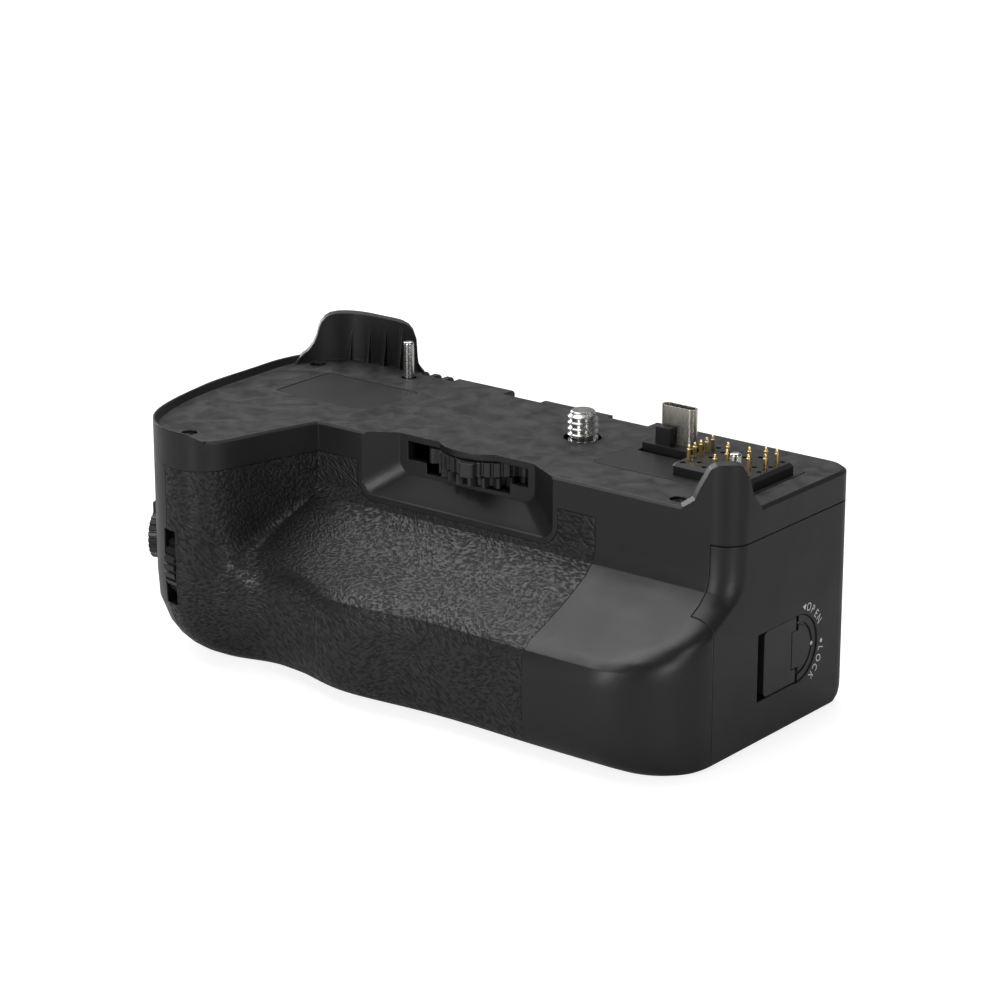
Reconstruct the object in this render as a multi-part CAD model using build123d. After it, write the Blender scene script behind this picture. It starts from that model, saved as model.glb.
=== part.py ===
from build123d import *

import math
import os

# A battery grip that screws to the underside of a camera. The deck on top
# meets the camera, the left end is the upright hand grip, and a tray with two
# batteries slides out of the right end. Millimetres, Z up, the front towards
# -Y, the origin in the middle of the underside.

# Outer body
LENGTH = 139.0
BODY_DEPTH = 71.1
HEIGHT = 49.5
STICK_PROUD = 3.48
DIAL_PROUD = 0.38
WALL_SETBACK = 27.7
RIDGE_SETBACK = 4.1
END_FLAT_SETBACK = 6.0
BAND_DEPTH = 6.4
CORNER_R = 5.4
BACK_LEFT_R = 13.0
COLUMN_TUCK_R = 16.0
BACK_BOTTOM_R = 4.0
END_BOTTOM_R = 1.5
VALLEY_SHARP_DEPTH = 14.0
VALLEY_BLEND_DEPTH = 14.0
RIDGE_BULGE = 1.6
RIDGE_END_BULGE = 0.3
DECK_CHAMFER = 0.6
OVERRUN = 1.0
SEAM = 0.12
SEAT_GAP = 0.06

# Share of the height under the band, share of the ridge reached, and the
# valley between grip and ridge as shares of the length and depth.
LEVEL_SHARES = [
    (0.0, 0.0, 0.249, 0.388),
    (0.153, 0.008, 0.249, 0.383),
    (0.211, 0.048, 0.246, 0.365),
    (0.258, 0.14, 0.241, 0.327),
    (0.299, 0.277, 0.235, 0.283),
    (0.339, 0.41, 0.2305, 0.24),
    (0.378, 0.57, 0.229, 0.193),
    (0.415, 0.735, 0.2315, 0.15),
    (0.45, 0.89, 0.2435, 0.117),
    (0.483, 0.965, 0.255, 0.102),
    (0.524, 0.993, 0.269, 0.094),
    (0.571, 1.0, 0.2806, 0.0914),
    (0.71, 1.0, 0.286, 0.094),
    (0.826, 0.992, 0.2875, 0.098),
    (0.884, 0.965, 0.289, 0.108),
    (0.926, 0.918, 0.2915, 0.123),
    (0.958, 0.85, 0.294, 0.14),
    (0.981, 0.76, 0.296, 0.158),
    (1.0, 0.62, 0.2986, 0.19),
]
# Outline of the hand grip from the valley round the front to the left end, at
# the deck and at the foot.
GRIP_TOP_SHARES = [
    (0.1986, 0.0563), (0.1489, 0.0), (0.1, 0.019), (0.0594, 0.0802),
    (0.0252, 0.2194), (0.0065, 0.391), (0.0, 0.606), (0.0, 0.775),
]
GRIP_FOOT_SHARES = [
    (0.2626, 0.1857), (0.2302, 0.1842), (0.187, 0.1842), (0.1403, 0.2082),
    (0.1079, 0.2757), (0.082, 0.3671), (0.0662, 0.4796), (0.0576, 0.6343),
    (0.0576, 0.775),
]
RIDGE_X_SHARES = [0.75, 0.56, 0.42]

FRONT_Y = -(BODY_DEPTH + STICK_PROUD - DIAL_PROUD) / 2
BACK_Y = FRONT_Y + BODY_DEPTH
LEFT_X = -LENGTH / 2
RIGHT_X = LENGTH / 2
WALL_Y = FRONT_Y + WALL_SETBACK
RIDGE_Y = FRONT_Y + RIDGE_SETBACK
END_FLAT_Y = WALL_Y - END_FLAT_SETBACK
BAND_Z = HEIGHT - BAND_DEPTH

# Raised rims on the deck
LIP_HEIGHT = 1.5
LIP_WIDTH = 1.2
LIP_EDGE = 0.4
LIP_END_INSET = 26.0
LIP_RAMP = 3.0
WING_HEIGHT = 10.5
WING_WALL = 2.0
WING_REACH = 27.4
WING_SKYLINE_SHARES = [
    (-0.31, 0.0), (-0.255, 0.165), (-0.194, 0.26), (-0.15, 0.4), (-0.123, 0.55),
    (-0.105, 0.715), (-0.087, 0.825), (-0.052, 0.925), (-0.009, 0.98),
    (0.059, 1.0), (0.5, 1.0), (0.549, 0.99), (0.595, 0.943), (0.625, 0.855),
    (0.643, 0.71), (0.647, 0.53), (0.65, 0.35), (0.657, 0.185), (0.676, 0.085),
    (0.706, 0.0),
]
POST_HEIGHT = 10.0
POST_WALL = 2.0
POST_REACH = 15.2
POST_SKYLINE_SHARES = [
    (-0.55, 0.0), (-0.42, 0.2), (-0.36, 0.47), (-0.25, 0.88), (-0.178, 0.98),
    (-0.06, 1.0), (0.06, 1.0), (0.14, 0.95), (0.24, 0.69), (0.316, 0.29),
    (0.448, 0.0),
]
SKYLINE_REACH = 24.0
GUSSET_COUNT = 5
GUSSET_WIDTH = 1.1
GUSSET_FOOT = 1.3
GUSSET_HEIGHT = 9.4
GUSSET_FIRST_INSET = 4.3
GUSSET_PITCH = 4.54

# Leather-grained covering and the smooth panel round the hand grip
COVER_SKIN = 1.2
COVER_LEFT_INSET = 16.4
COVER_RIGHT_INSET = 32.5
COVER_FOOT_Z = 2.0
COVER_BACK_Y = -5.0
COVER_NOTCH_MARGIN = 1.2
PANEL_SKIN = 2.4
PANEL_BACK_Y = 12.0

# End cap, battery chamber and tray
CAP_THICKNESS = 5.3
CAP_TOP_DROP = 6.2
CHAMBER_LEFT_INSET = 22.0
CHAMBER_FLOOR_Z = 2.7
CHAMBER_HEIGHT = 25.3
CHAMBER_FRONT_Y = -13.0
CHAMBER_DEPTH = 42.5
TRAY_GAP = 0.3
TRAY_WALL = 1.4
TRAY_END_WALL = 1.5
TRAY_LOW_WALL = 20.0
TRAY_SCOOP_R = 9.0
BATTERY_LENGTH = 52.0
BATTERY_DEPTH = 38.5
BATTERY_HEIGHT = 20.6
BATTERY_EDGE_R = 1.5
BATTERY_PLAY = 0.25
BATTERY_TERMINAL_WIDTH = 16.0
BATTERY_TERMINAL_LENGTH = 6.0
BATTERY_TERMINAL_DEPTH = 0.5

# Latch in the end cap
LATCH_Y = 14.0
LATCH_Z = 16.3
LATCH_R = 7.0
LATCH_GAP = 0.15
LATCH_POCKET = 2.8
LATCH_WELL_REACH = 14.0
KNOB_BASE = 1.15
KNOB_PROUD_GAP = 0.2
KNOB_RAISED_INSET = 0.6
KNOB_GROOVE_R = 5.6
KNOB_GROOVE_WIDTH = 0.6
KNOB_GROOVE_DEPTH = 0.35
HANDLE_THICKNESS = 1.4
HANDLE_REACH = 11.5
HANDLE_CORNER_R = 1.2
HINGE_PIN_R = 0.4
HINGE_PIN_OFFSET = 0.55
HINGE_PIN_LENGTH = 12.6
HINGE_BLOCK_WIDTH = 7.8
HINGE_BLOCK_LEFT = 1.0
HINGE_NOTCH = 1.35
HINGE_SIDE_GAP = 0.12
SPINDLE_R = 2.5
BOLT_THICKNESS = 1.8
BOLT_WIDTH = 5.0
BOLT_HEAD_R = 4.5
BOLT_TIP_RISE = 1.4
BOLT_GAP = 0.2

# Frame that closes the mechanism bay from below
BAY_LEFT_X = -28.5
BAY_SPLIT_X = 26.0
BAY_RIGHT_X = 60.5
BAY_FRONT_Y = -3.2
BAY_BACK_Y = 28.0
DECK_THICKNESS = 2.0
CONNECTOR_FLOOR = 3.4
FRAME_PLATE = 2.2
FRAME_LEDGE = 1.6
FRAME_GAP = 0.1
POST_GAP = 0.3

# Lock wheel and camera screw
WHEEL_X = 1.5
WHEEL_Y = 3.8
WHEEL_TOP_DROP = 1.7
WHEEL_THICKNESS = 3.0
WHEEL_R = 11.8
WHEEL_LUG_R = 13.4
WHEEL_LUG_COUNT = 6
WHEEL_LUG_WIDTH = 3.4
WHEEL_TEETH_COUNT = 36
WHEEL_TOOTH_DEPTH = 0.5
WHEEL_GAP = 0.3
WHEEL_SIDE_GAP = 0.6
GEAR_MODULE = 0.8965
GEAR_THICKNESS = 2.2
GEAR_STEP = 0.3
GEAR_ADDENDUM = 0.8
GEAR_DEDENDUM = 1.1
GEAR_BACKLASH = 0.14
PRESSURE_ANGLE = 25.0
WHEEL_GEAR_TEETH_COUNT = 24
SCREW_GEAR_TEETH_COUNT = 16
SCREW_BEARING_ANGLE = 41.16
SCREW_R = 3.175
SCREW_NECK_R = 3.0
SCREW_PROUD = 5.8
SCREW_TIP_CHAMFER = 0.6
SCREW_HOLE_R = 4.0
SCREW_JOURNAL_R = 2.5
SCREW_JOURNAL = 4.4
BUSH_R = 4.0
BUSH_HEIGHT = 4.0
AXLE_R = 1.5
AXLE_SEAT = 0.9
AXLE_FOOT = 4.0
AXLE_POST_R = 3.5
BUSH_POST_R = 6.0
FIT = 0.05

# Finger recess in front of the wheel
RECESS_LEFT_X = -23.0
RECESS_RIGHT_X = 26.4
RECESS_DROP = 13.1
RECESS_SETBACK = 4.2
RECESS_INNER_LEFT_X = -16.5
RECESS_INNER_RIGHT_X = 18.7
RECESS_INNER_DROP = 8.4
RECESS_R = 3.0
SLOT_LEFT_X = -14.2
SLOT_RIGHT_X = 16.9
HOOD_R = 11.5
HOOD_THICKNESS = 1.4

# Connector plate, plug and contact block on the deck
PLATE_LEFT_X = 26.5
PLATE_RIGHT_X = 64.0
PLATE_FRONT_Y = 3.2
PLATE_BACK_Y = 24.6
PLATE_THICKNESS = 1.6
PLATE_CORNER_R = 1.6
PLATE_GROOVE = 0.25
PLUG_X = 35.4
PLUG_Y = 20.9
PLUG_WIDTH = 8.25
PLUG_HEIGHT = 2.4
PLUG_WALL = 0.3
PLUG_TOP_RISE = 9.1
PLUG_SEAT = 2.0
PLUG_WINDOW_X = 6.5
PLUG_WINDOW_FRONT = 5.7
PLUG_WINDOW_BACK = 2.3
INSERT_DROP = 0.3
INSERT_SLOT_WIDTH = 6.7
INSERT_SLOT_HEIGHT = 0.8
INSERT_SLOT_DEPTH = 5.5
USB_BASE_LEFT = 6.4
USB_BASE_RIGHT = 4.8
USB_BASE_FRONT = 3.9
USB_BASE_BACK = 1.8
USB_BASE_RISE = 1.3
USB_TOWER_LEFT = 3.5
USB_TOWER_FRONT = 3.4
USB_TOWER_DEPTH = 2.0
USB_TOWER_RISE = 5.0
BLOCK_LEFT_X = 43.5
BLOCK_RIGHT_X = 62.8
BLOCK_FRONT_Y = 6.52
BLOCK_BACK_Y = 21.8
BLOCK_RISE = 2.4
BLOCK_CORNER_R = 1.0
BLOCK_CHAMFER = 0.7
BLOCK_GAP = 0.1
CONTACT_R = 0.45
CONTACT_HOLE_R = 0.6
CONTACT_PITCH_X = 2.55
CONTACT_PITCH_Y = 2.05
CONTACT_FIRST_X = 45.5
CONTACT_FIRST_Y = 7.85
CONTACT_PROUD = 3.2
CONTACT_TRAVEL = 1.5
CONTACT_FOOT_GAP = 0.1
EMPTY_HOLE_DEPTH = 1.5

# Locating pins and deck screws
PIN_R = 1.15
PIN_RISE = 8.1
PIN_SEAT = 4.4
PIN_SEAT_R = 0.8
PIN_HOLE_R = 1.6
PIN_HOLE_DEPTH = 0.8
PIN_LEFT_X = -41.3
PIN_LEFT_Y = 27.7
PIN_RIGHT_X = 60.3
PIN_RIGHT_Y = 4.5
DECK_SCREW_HEAD_R = 1.6
DECK_SCREW_HOLE_R = 1.7
DECK_SCREW_HEAD = 1.0
DECK_SCREW_SHANK_R = 0.8
DECK_SCREW_LENGTH = 5.0
DECK_SCREW_SUNK = 0.5
DECK_SCREW_DRIVE_R = 0.7
DECK_SCREW_XS = [-63.7, -50.4, 54.0]
DECK_SCREW_YS = [23.3, -31.9, -5.7]

# Smooth patch, notch and slots in the deck
PATCH_LEFT_X = -57.4
PATCH_RIGHT_X = -31.5
PATCH_FRONT_Y = 2.0
PATCH_BACK_Y = 19.8
PATCH_R = 1.2
PATCH_ROUND_R = 5.0
PATCH_THICKNESS = 0.9
PATCH_DROP = 0.1
NOTCH_LEFT_X = -17.0
NOTCH_RIGHT_X = 21.0
NOTCH_TAB_LEFT_X = -7.0
NOTCH_TAB_RIGHT_X = 10.7
NOTCH_DEPTH = 4.0
NOTCH_SHALLOW = 2.2
NOTCH_HEIGHT = 5.0
BACK_SLOT_COUNT = 3
BACK_SLOT_X = -36.2
BACK_SLOT_PITCH = 3.4
BACK_SLOT_WIDTH = 2.0
BACK_SLOT_LENGTH = 3.0
BACK_SLOT_DEPTH = 1.5

# Command dials
DIAL_R = 9.0
DIAL_THICKNESS = 3.2
DIAL_TEETH_COUNT = 30
DIAL_TOOTH_DEPTH = 0.5
DIAL_GAP = 0.4
DIAL_SIDE_GAP = 0.3
DIAL_AXLE_R = 1.25
DIAL_AXLE_LENGTH = 9.0
FRONT_DIAL_X = -51.05
FRONT_DIAL_Y = -28.5
FRONT_DIAL_Z = 21.2
FRONT_DIAL_ANGLE = -8.0
FRONT_SLOT_HEIGHT = 16.2
REAR_DIAL_X = -46.0
REAR_DIAL_Z = 38.6
REAR_DIAL_PROUD = 0.9

# Shutter button with the lock lever round it
SHUTTER_X = -64.9
SHUTTER_Y = -24.5
SHUTTER_Z = 22.5
SHUTTER_ANGLE = 205.5
SHUTTER_SEAT_R = 5.6
SHUTTER_SEAT_DEPTH = 0.8
LEVER_R = 5.15
LEVER_RISE = 2.6
LEVER_GAP = 0.2
LEVER_TAB_R = 7.2
LEVER_TAB_WIDTH = 2.4
LEVER_TAB_RISE = 0.9
LEVER_RIB_COUNT = 24
LEVER_RIB_DEPTH = 0.3
BOSS_R = 4.0
BUTTON_R = 3.4
BUTTON_RISE = 3.0
BUTTON_LENGTH = 6.5
BUTTON_FLANGE_R = 4.2
BUTTON_FLANGE = 0.8
BUTTON_TRAVEL = 1.2
BUTTON_DISH_R = 12.0
BUTTON_DISH_DEPTH = 0.4
BUTTON_WELL_R = 4.8
SWITCH_SIZE = 4.6
SWITCH_HEIGHT = 1.6
SWITCH_GAP = 0.1

# Buttons, thumb stick and pad on the back
AF_BUTTON_X = -31.0
AF_BUTTON_Z = 37.8
AF_BUTTON_R = 3.4
FUNCTION_BUTTON_X = -36.5
FUNCTION_BUTTON_Z = 28.6
FUNCTION_BUTTON_R = 2.6
REAR_BUTTON_PROUD = 1.0
REAR_BUTTON_SUNK = 2.2
REAR_BUTTON_TRAVEL = 0.6
REAR_BUTTON_GAP = 0.08
REAR_SWITCH_SHARE = 0.8
REAR_SWITCH_HEIGHT = 0.7
STICK_X = -54.5
STICK_Z = 24.0
STICK_PIVOT_DEPTH = 5.0
STICK_WELL_R = 5.4
STICK_WELL_DEPTH = 8.0
STICK_CAP_R = 3.6
STICK_CAP = 2.4
STICK_STEM_R = 1.5
STICK_HUB_R = 2.0
RING_OUTER_R = 4.4
RING_INNER_R = 3.0
RING_THICKNESS = 2.2
TRUNNION_R = 0.6
TRUNNION_GAP = 0.06
TRUNNION_SEAT = 0.7
THUMB_PAD_X = -43.0
THUMB_PAD_Z = 11.0
THUMB_PAD_LENGTH = 34.0
THUMB_PAD_HEIGHT = 12.0
THUMB_PAD_R = 3.0
THUMB_PAD_SUNK = 1.0
THUMB_PAD_PROUD = 0.7
THUMB_PAD_CHAMFER = 0.5

# Underside
FOOT_PLATE_LENGTH = 32.0
FOOT_PLATE_FRONT_Y = -22.8
FOOT_PLATE_DEPTH = 9.2
FOOT_PLATE_THICKNESS = 1.2
FOOT_PLATE_R = 1.5
SOCKET_X = 15.0
SOCKET_R = 3.175
SOCKET_WALL = 1.15
SOCKET_DEPTH = 6.5
SOCKET_FLANGE = 0.8
SOCKET_FLANGE_THICKNESS = 0.8
FOOT_SCREW_SPACING = 24.0
FOOT_SCREW_LENGTH = 6.0

# Circuit board on the frame, and the battery contacts under it
BOARD_LEFT_X = 29.0
BOARD_RIGHT_X = 59.0
BOARD_FRONT_Y = 0.0
BOARD_BACK_Y = 26.0
BOARD_Z = 38.0
BOARD_THICKNESS = 1.6
BOARD_POST_R = 2.0
BOARD_POST_INSET = 3.0
CONTACT_BLOCK_LENGTH = 8.0
CONTACT_BLOCK_DEPTH = 16.0
CONTACT_BLOCK_HEIGHT = 2.1
CONTACT_BLOCK_Y = 8.0
CONTACT_BLOCK_INSET = 6.0
SPRING_WIDTH = 1.6
SPRING_PITCH = 4.5
SPRING_RISE = 0.5
SPRING_COUNT = 3

# Places that follow from the sizes above
CAP_X = RIGHT_X - CAP_THICKNESS
CAP_TOP_Z = HEIGHT - CAP_TOP_DROP
CHAMBER_LEFT_X = LEFT_X + CHAMBER_LEFT_INSET
CHAMBER_TOP_Z = CHAMBER_FLOOR_Z + CHAMBER_HEIGHT
CHAMBER_BACK_Y = CHAMBER_FRONT_Y + CHAMBER_DEPTH
BAY_TOP_Z = HEIGHT - DECK_THICKNESS
PLATE_Z = HEIGHT - PLATE_THICKNESS
CONNECTOR_Z = PLATE_Z - CONNECTOR_FLOOR
FRAME_TOP_Z = CHAMBER_TOP_Z + FRAME_PLATE
WHEEL_TOP_Z = HEIGHT - WHEEL_TOP_DROP
WHEEL_Z = WHEEL_TOP_Z - WHEEL_THICKNESS
GEAR_TOP_Z = WHEEL_Z - GEAR_STEP
GEAR_Z = GEAR_TOP_Z - GEAR_THICKNESS
GEAR_CENTRES = GEAR_MODULE * (WHEEL_GEAR_TEETH_COUNT + SCREW_GEAR_TEETH_COUNT) / 2
SCREW_X = WHEEL_X + GEAR_CENTRES * math.cos(math.radians(SCREW_BEARING_ANGLE))
SCREW_Y = WHEEL_Y + GEAR_CENTRES * math.sin(math.radians(SCREW_BEARING_ANGLE))
COVER_LEFT_X = LEFT_X + COVER_LEFT_INSET
COVER_RIGHT_X = RIGHT_X - COVER_RIGHT_INSET
REAR_DIAL_Y = BACK_Y + REAR_DIAL_PROUD - DIAL_R
CAP_INNER_X = CAP_X + SEAM
LATCH_FLOOR_X = RIGHT_X - LATCH_POCKET
KNOB_BACK_X = LATCH_FLOOR_X + FIT
KNOB_FACE_X = KNOB_BACK_X + KNOB_BASE
KNOB_TOP_X = RIGHT_X - KNOB_PROUD_GAP
HINGE_Y = LATCH_Y - HINGE_PIN_OFFSET
HINGE_X = KNOB_FACE_X + FIT + HANDLE_THICKNESS / 2


def block(x0, x1, y0, y1, z0, z1):
    """Block between two corners."""
    centre = Pos((x0 + x1) / 2, (y0 + y1) / 2, (z0 + z1) / 2)
    return centre * Box(x1 - x0, y1 - y0, z1 - z0)


def rounded_block(x0, x1, y0, y1, z0, z1, radius):
    """Block with its upright edges rounded."""
    plan = RectangleRounded(x1 - x0, y1 - y0, radius)
    return Pos((x0 + x1) / 2, (y0 + y1) / 2, z0) * extrude(plan, z1 - z0)


def drum(x, y, z0, z1, radius):
    """Upright cylinder."""
    return Pos(x, y, z0) * Cylinder(radius, z1 - z0, align=(Align.CENTER, Align.CENTER, Align.MIN))


def rod(plane, start, end, radius):
    """Cylinder along a plane's normal, from start to end."""
    upright = Cylinder(radius, end - start, align=(Align.CENTER, Align.CENTER, Align.MIN))
    return plane.location * Pos(0, 0, start) * upright


def brick(plane, x0, x1, y0, y1, z0, z1):
    """Block between two corners given in a plane's own axes."""
    return plane.location * block(x0, x1, y0, y1, z0, z1)


def arc_about(start, end, centre):
    """Quarter arc from start to end about centre."""
    hub = Vector(*centre)
    towards = (Vector(*start) - hub) + (Vector(*end) - hub)
    middle = hub + towards.normalized() * (Vector(*start) - hub).length
    return ThreePointArc(start, middle, end)


def share_point(x_share, y_share):
    """Point in plan from shares of the length and the depth."""
    return (LEFT_X + x_share * LENGTH, FRONT_Y + y_share * BODY_DEPTH)


def tuck(drop, radius):
    """How far an edge rounded at the foot has drawn in at this drop."""
    into = max(0.0, drop - (HEIGHT - radius)) / radius
    return radius * (1 - math.sqrt(max(0.0, 1 - into * into)))


def level_drop(level):
    """Distance of a level below the deck."""
    return BAND_DEPTH + level[0] * (HEIGHT - BAND_DEPTH)


def grip_points(level):
    """Points round the hand grip from just past the valley to the left end."""
    tucked = tuck(level_drop(level), COLUMN_TUCK_R) / COLUMN_TUCK_R
    first = GRIP_TOP_SHARES[0]
    start = ((level[2] + first[0]) / 2, (level[3] + first[1]) / 2)
    points = []
    for top, foot in zip([start] + GRIP_TOP_SHARES, GRIP_FOOT_SHARES):
        points.append(share_point(
            top[0] + (foot[0] - top[0]) * tucked,
            top[1] + (foot[1] - top[1]) * tucked,
        ))
    return points


def drawn_in(before, point, after, inset):
    """Point moved into the body by inset, square to the outline there."""
    into = (Vector(*point) - Vector(*before)).normalized()
    out = (Vector(*after) - Vector(*point)).normalized()
    first, second = Vector(into.Y, -into.X), Vector(out.Y, -out.X)
    move = (first + second) * (inset / (1 + first.dot(second)))
    return (point[0] + move.X, point[1] + move.Y)


def valley_tangents(drop, valley, before, after):
    """Directions into and out of the valley: a crease above, a bend below."""
    soft = min(1.0, max(0.0, (drop - VALLEY_SHARP_DEPTH) / VALLEY_BLEND_DEPTH))
    into = (Vector(*valley) - Vector(*before)).normalized()
    out = (Vector(*after) - Vector(*valley)).normalized()
    bend = (into + out).normalized()
    into = (into * (1 - soft) + bend * soft).normalized()
    out = (out * (1 - soft) + bend * soft).normalized()
    return (into.X, into.Y), (out.X, out.Y)


def outline_runs(level, inset=0.0):
    """Points of the three splines in a plan: ridge, hand grip, back left corner."""
    drop = level_drop(level)
    ridge = level[1]
    back = BACK_Y - tuck(drop, BACK_BOTTOM_R) - inset
    right = RIGHT_X - tuck(drop, END_BOTTOM_R) - inset
    front = WALL_Y + (RIDGE_Y - WALL_Y) * ridge + inset
    nose_r = max(CORNER_R, END_FLAT_Y + inset - front)
    bulges = [0.0, 0.0, RIDGE_BULGE * ridge]
    ridge_points = [(right - nose_r, front)]
    for share, bulge in zip(RIDGE_X_SHARES, bulges):
        ridge_points.append((LEFT_X + share * LENGTH, front - bulge))
    chain = [ridge_points[-1], share_point(level[2], level[3])] + grip_points(level)
    chain.append((chain[-1][0], BACK_Y))
    moved = []
    for before, point, after in zip(chain, chain[1:], chain[2:]):
        moved.append(drawn_in(before, point, after, inset))
    left = moved[-1]
    bend = 1 - math.sqrt(0.5)
    corner = (left[0] + BACK_LEFT_R * bend, back - (back - left[1]) * bend)
    corner_points = moved[-2:] + [corner, (left[0] + BACK_LEFT_R, back)]
    return ridge_points + moved[:1], moved[:-1], corner_points


def running_shares(points):
    """Share of the whole run that is reached at each point."""
    reached = [0.0]
    for before, point in zip(points, points[1:]):
        reached.append(reached[-1] + (Vector(*point) - Vector(*before)).length)
    return [distance / reached[-1] for distance in reached]


def mean_shares(which):
    """Running shares of one of the splines, averaged over the levels."""
    tables = [running_shares(outline_runs(level)[which]) for level in LEVEL_SHARES]
    return [sum(column) / len(tables) for column in zip(*tables)]


def even_spline(points, start_way, end_way, run_shares):
    """Spline that reaches its points at the same shares of its run at any level."""
    return Edge.make_spline(points, tangents=[start_way, end_way], parameters=run_shares)


def outline(level, inset=0.0):
    """Plan of the body at one level, drawn in by inset."""
    ridge, grip, corner = outline_runs(level, inset)
    nose, valley, back = ridge[0], grip[0], corner[-1][1]
    right = RIGHT_X - tuck(level_drop(level), END_BOTTOM_R) - inset
    nose_r = right - nose[0]
    into, out = valley_tangents(level_drop(level), valley, ridge[-2], grip[1])
    edges = [
        Line(corner[-1], (right - CORNER_R, back)),
        arc_about((right - CORNER_R, back), (right, back - CORNER_R), (right - CORNER_R, back - CORNER_R)),
        Line((right, back - CORNER_R), (right, nose[1] + nose_r)),
        arc_about((right, nose[1] + nose_r), nose, (nose[0], nose[1] + nose_r)),
        even_spline(ridge, (-1, 0), into, RIDGE_RUN_SHARES),
        even_spline(grip, out, (0, 1), GRIP_RUN_SHARES),
        even_spline(corner, (0, 1), (1, 0), CORNER_RUN_SHARES),
    ]
    return -Face(Wire(edges))


def body_block(inset=0.0):
    """Solid from the foot up to the deck band."""
    faces = []
    for level in LEVEL_SHARES:
        faces.append(Pos(0, 0, HEIGHT - level_drop(level)) * outline(level, inset))
    return loft(faces, ruled=True)


def deck_band():
    """Straight band under the deck, with the deck's chamfered edge."""
    top = LEVEL_SHARES[0]
    edge_z = HEIGHT - DECK_CHAMFER
    band = Pos(0, 0, BAND_Z) * extrude(outline(top), edge_z - BAND_Z)
    rim = loft([Pos(0, 0, edge_z) * outline(top), Pos(0, 0, HEIGHT) * outline(top, DECK_CHAMFER)], ruled=True)
    return band + rim


RIDGE_RUN_SHARES = mean_shares(0)
GRIP_RUN_SHARES = mean_shares(1)
CORNER_RUN_SHARES = mean_shares(2)


def rim_ring(width, height):
    """Ring of this width just inside the deck's outline."""
    top = LEVEL_SHARES[0]
    tall = height + DECK_CHAMFER
    ring = extrude(outline(top), tall)
    hollow = Pos(0, 0, -OVERRUN) * extrude(outline(top, width), tall + 2 * OVERRUN)
    return Pos(0, 0, HEIGHT - DECK_CHAMFER) * (ring - hollow)


def skyline(corner, reach, height, shares):
    """Slab with a rounded skyline, seen square to the diagonal at a corner."""
    plane = Plane(origin=(corner[0], corner[1], HEIGHT), x_dir=(1, 1, 0), z_dir=(1, -1, 0))
    points = [(x * reach, y * height) for x, y in shares]
    first, last = points[0][0], points[-1][0]
    low = -DECK_CHAMFER - OVERRUN
    face = make_face([
        Polyline(*points),
        Line(points[-1], (last, low)),
        Line((last, low), (first, low)),
        Line((first, low), points[0]),
    ])
    return plane.location * extrude(face, SKYLINE_REACH, both=True)


def slope_ring(bowl, top):
    """What is left between the deck's outline and a bowl above the deck."""
    return Pos(0, 0, HEIGHT) * extrude(outline(LEVEL_SHARES[0]), top - HEIGHT) - bowl


def lip():
    """Low rim round the hand grip, sloping inwards, that ends in a short ramp."""
    top = HEIGHT + LIP_HEIGHT
    end = LEFT_X + LIP_END_INSET
    low = HEIGHT - DECK_CHAMFER - OVERRUN
    plane = Plane(origin=(0, BACK_Y + OVERRUN, 0), x_dir=(1, 0, 0), z_dir=(0, -1, 0))
    face = make_face(Polyline(
        (LEFT_X - OVERRUN, low), (end, low), (end, HEIGHT), (end - LIP_RAMP, top),
        (LEFT_X - OVERRUN, top), close=True,
    ))
    slab = plane.location * extrude(face, BODY_DEPTH + 2 * OVERRUN)
    deck = LEVEL_SHARES[0]
    bowl = loft([Pos(0, 0, HEIGHT) * outline(deck, LIP_WIDTH), Pos(0, 0, top) * outline(deck, LIP_EDGE)], ruled=True)
    return (rim_ring(LIP_WIDTH, 0) + slope_ring(bowl, top)) & slab


def gussets():
    """Triangular ribs that brace the wing from inside, lower where it is."""
    ribs = []
    reach = skyline((LEFT_X, BACK_Y), WING_REACH, GUSSET_HEIGHT, WING_SKYLINE_SHARES)
    inner = BACK_Y - WING_WALL
    bend = BACK_LEFT_R - WING_WALL
    for index in range(GUSSET_COUNT):
        x = LEFT_X + GUSSET_FIRST_INSET + index * GUSSET_PITCH
        near = max(0.0, LEFT_X + BACK_LEFT_R - x)
        y = inner - bend + math.sqrt(max(0.0, bend * bend - near * near))
        plane = Plane(origin=(x, y, HEIGHT), x_dir=(0, -1, 0), z_dir=(-1, 0, 0))
        face = make_face(Polyline(
            (-WING_WALL / 2, 0), (GUSSET_FOOT, 0), (0, GUSSET_HEIGHT), (-WING_WALL / 2, GUSSET_HEIGHT),
            close=True,
        ))
        rib = plane.location * Pos(0, 0, -GUSSET_WIDTH / 2) * extrude(face, GUSSET_WIDTH)
        ribs.append(rib & reach)
    return ribs


def deck_rims():
    """Lip, wing with its ribs, and corner post, standing on the deck."""
    wing = rim_ring(WING_WALL, WING_HEIGHT) & skyline(
        (LEFT_X, BACK_Y), WING_REACH, WING_HEIGHT, WING_SKYLINE_SHARES)
    post = rim_ring(POST_WALL, POST_HEIGHT) & skyline(
        (RIGHT_X, WALL_Y), POST_REACH, POST_HEIGHT, POST_SKYLINE_SHARES)
    return [lip(), wing, post] + gussets()


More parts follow.
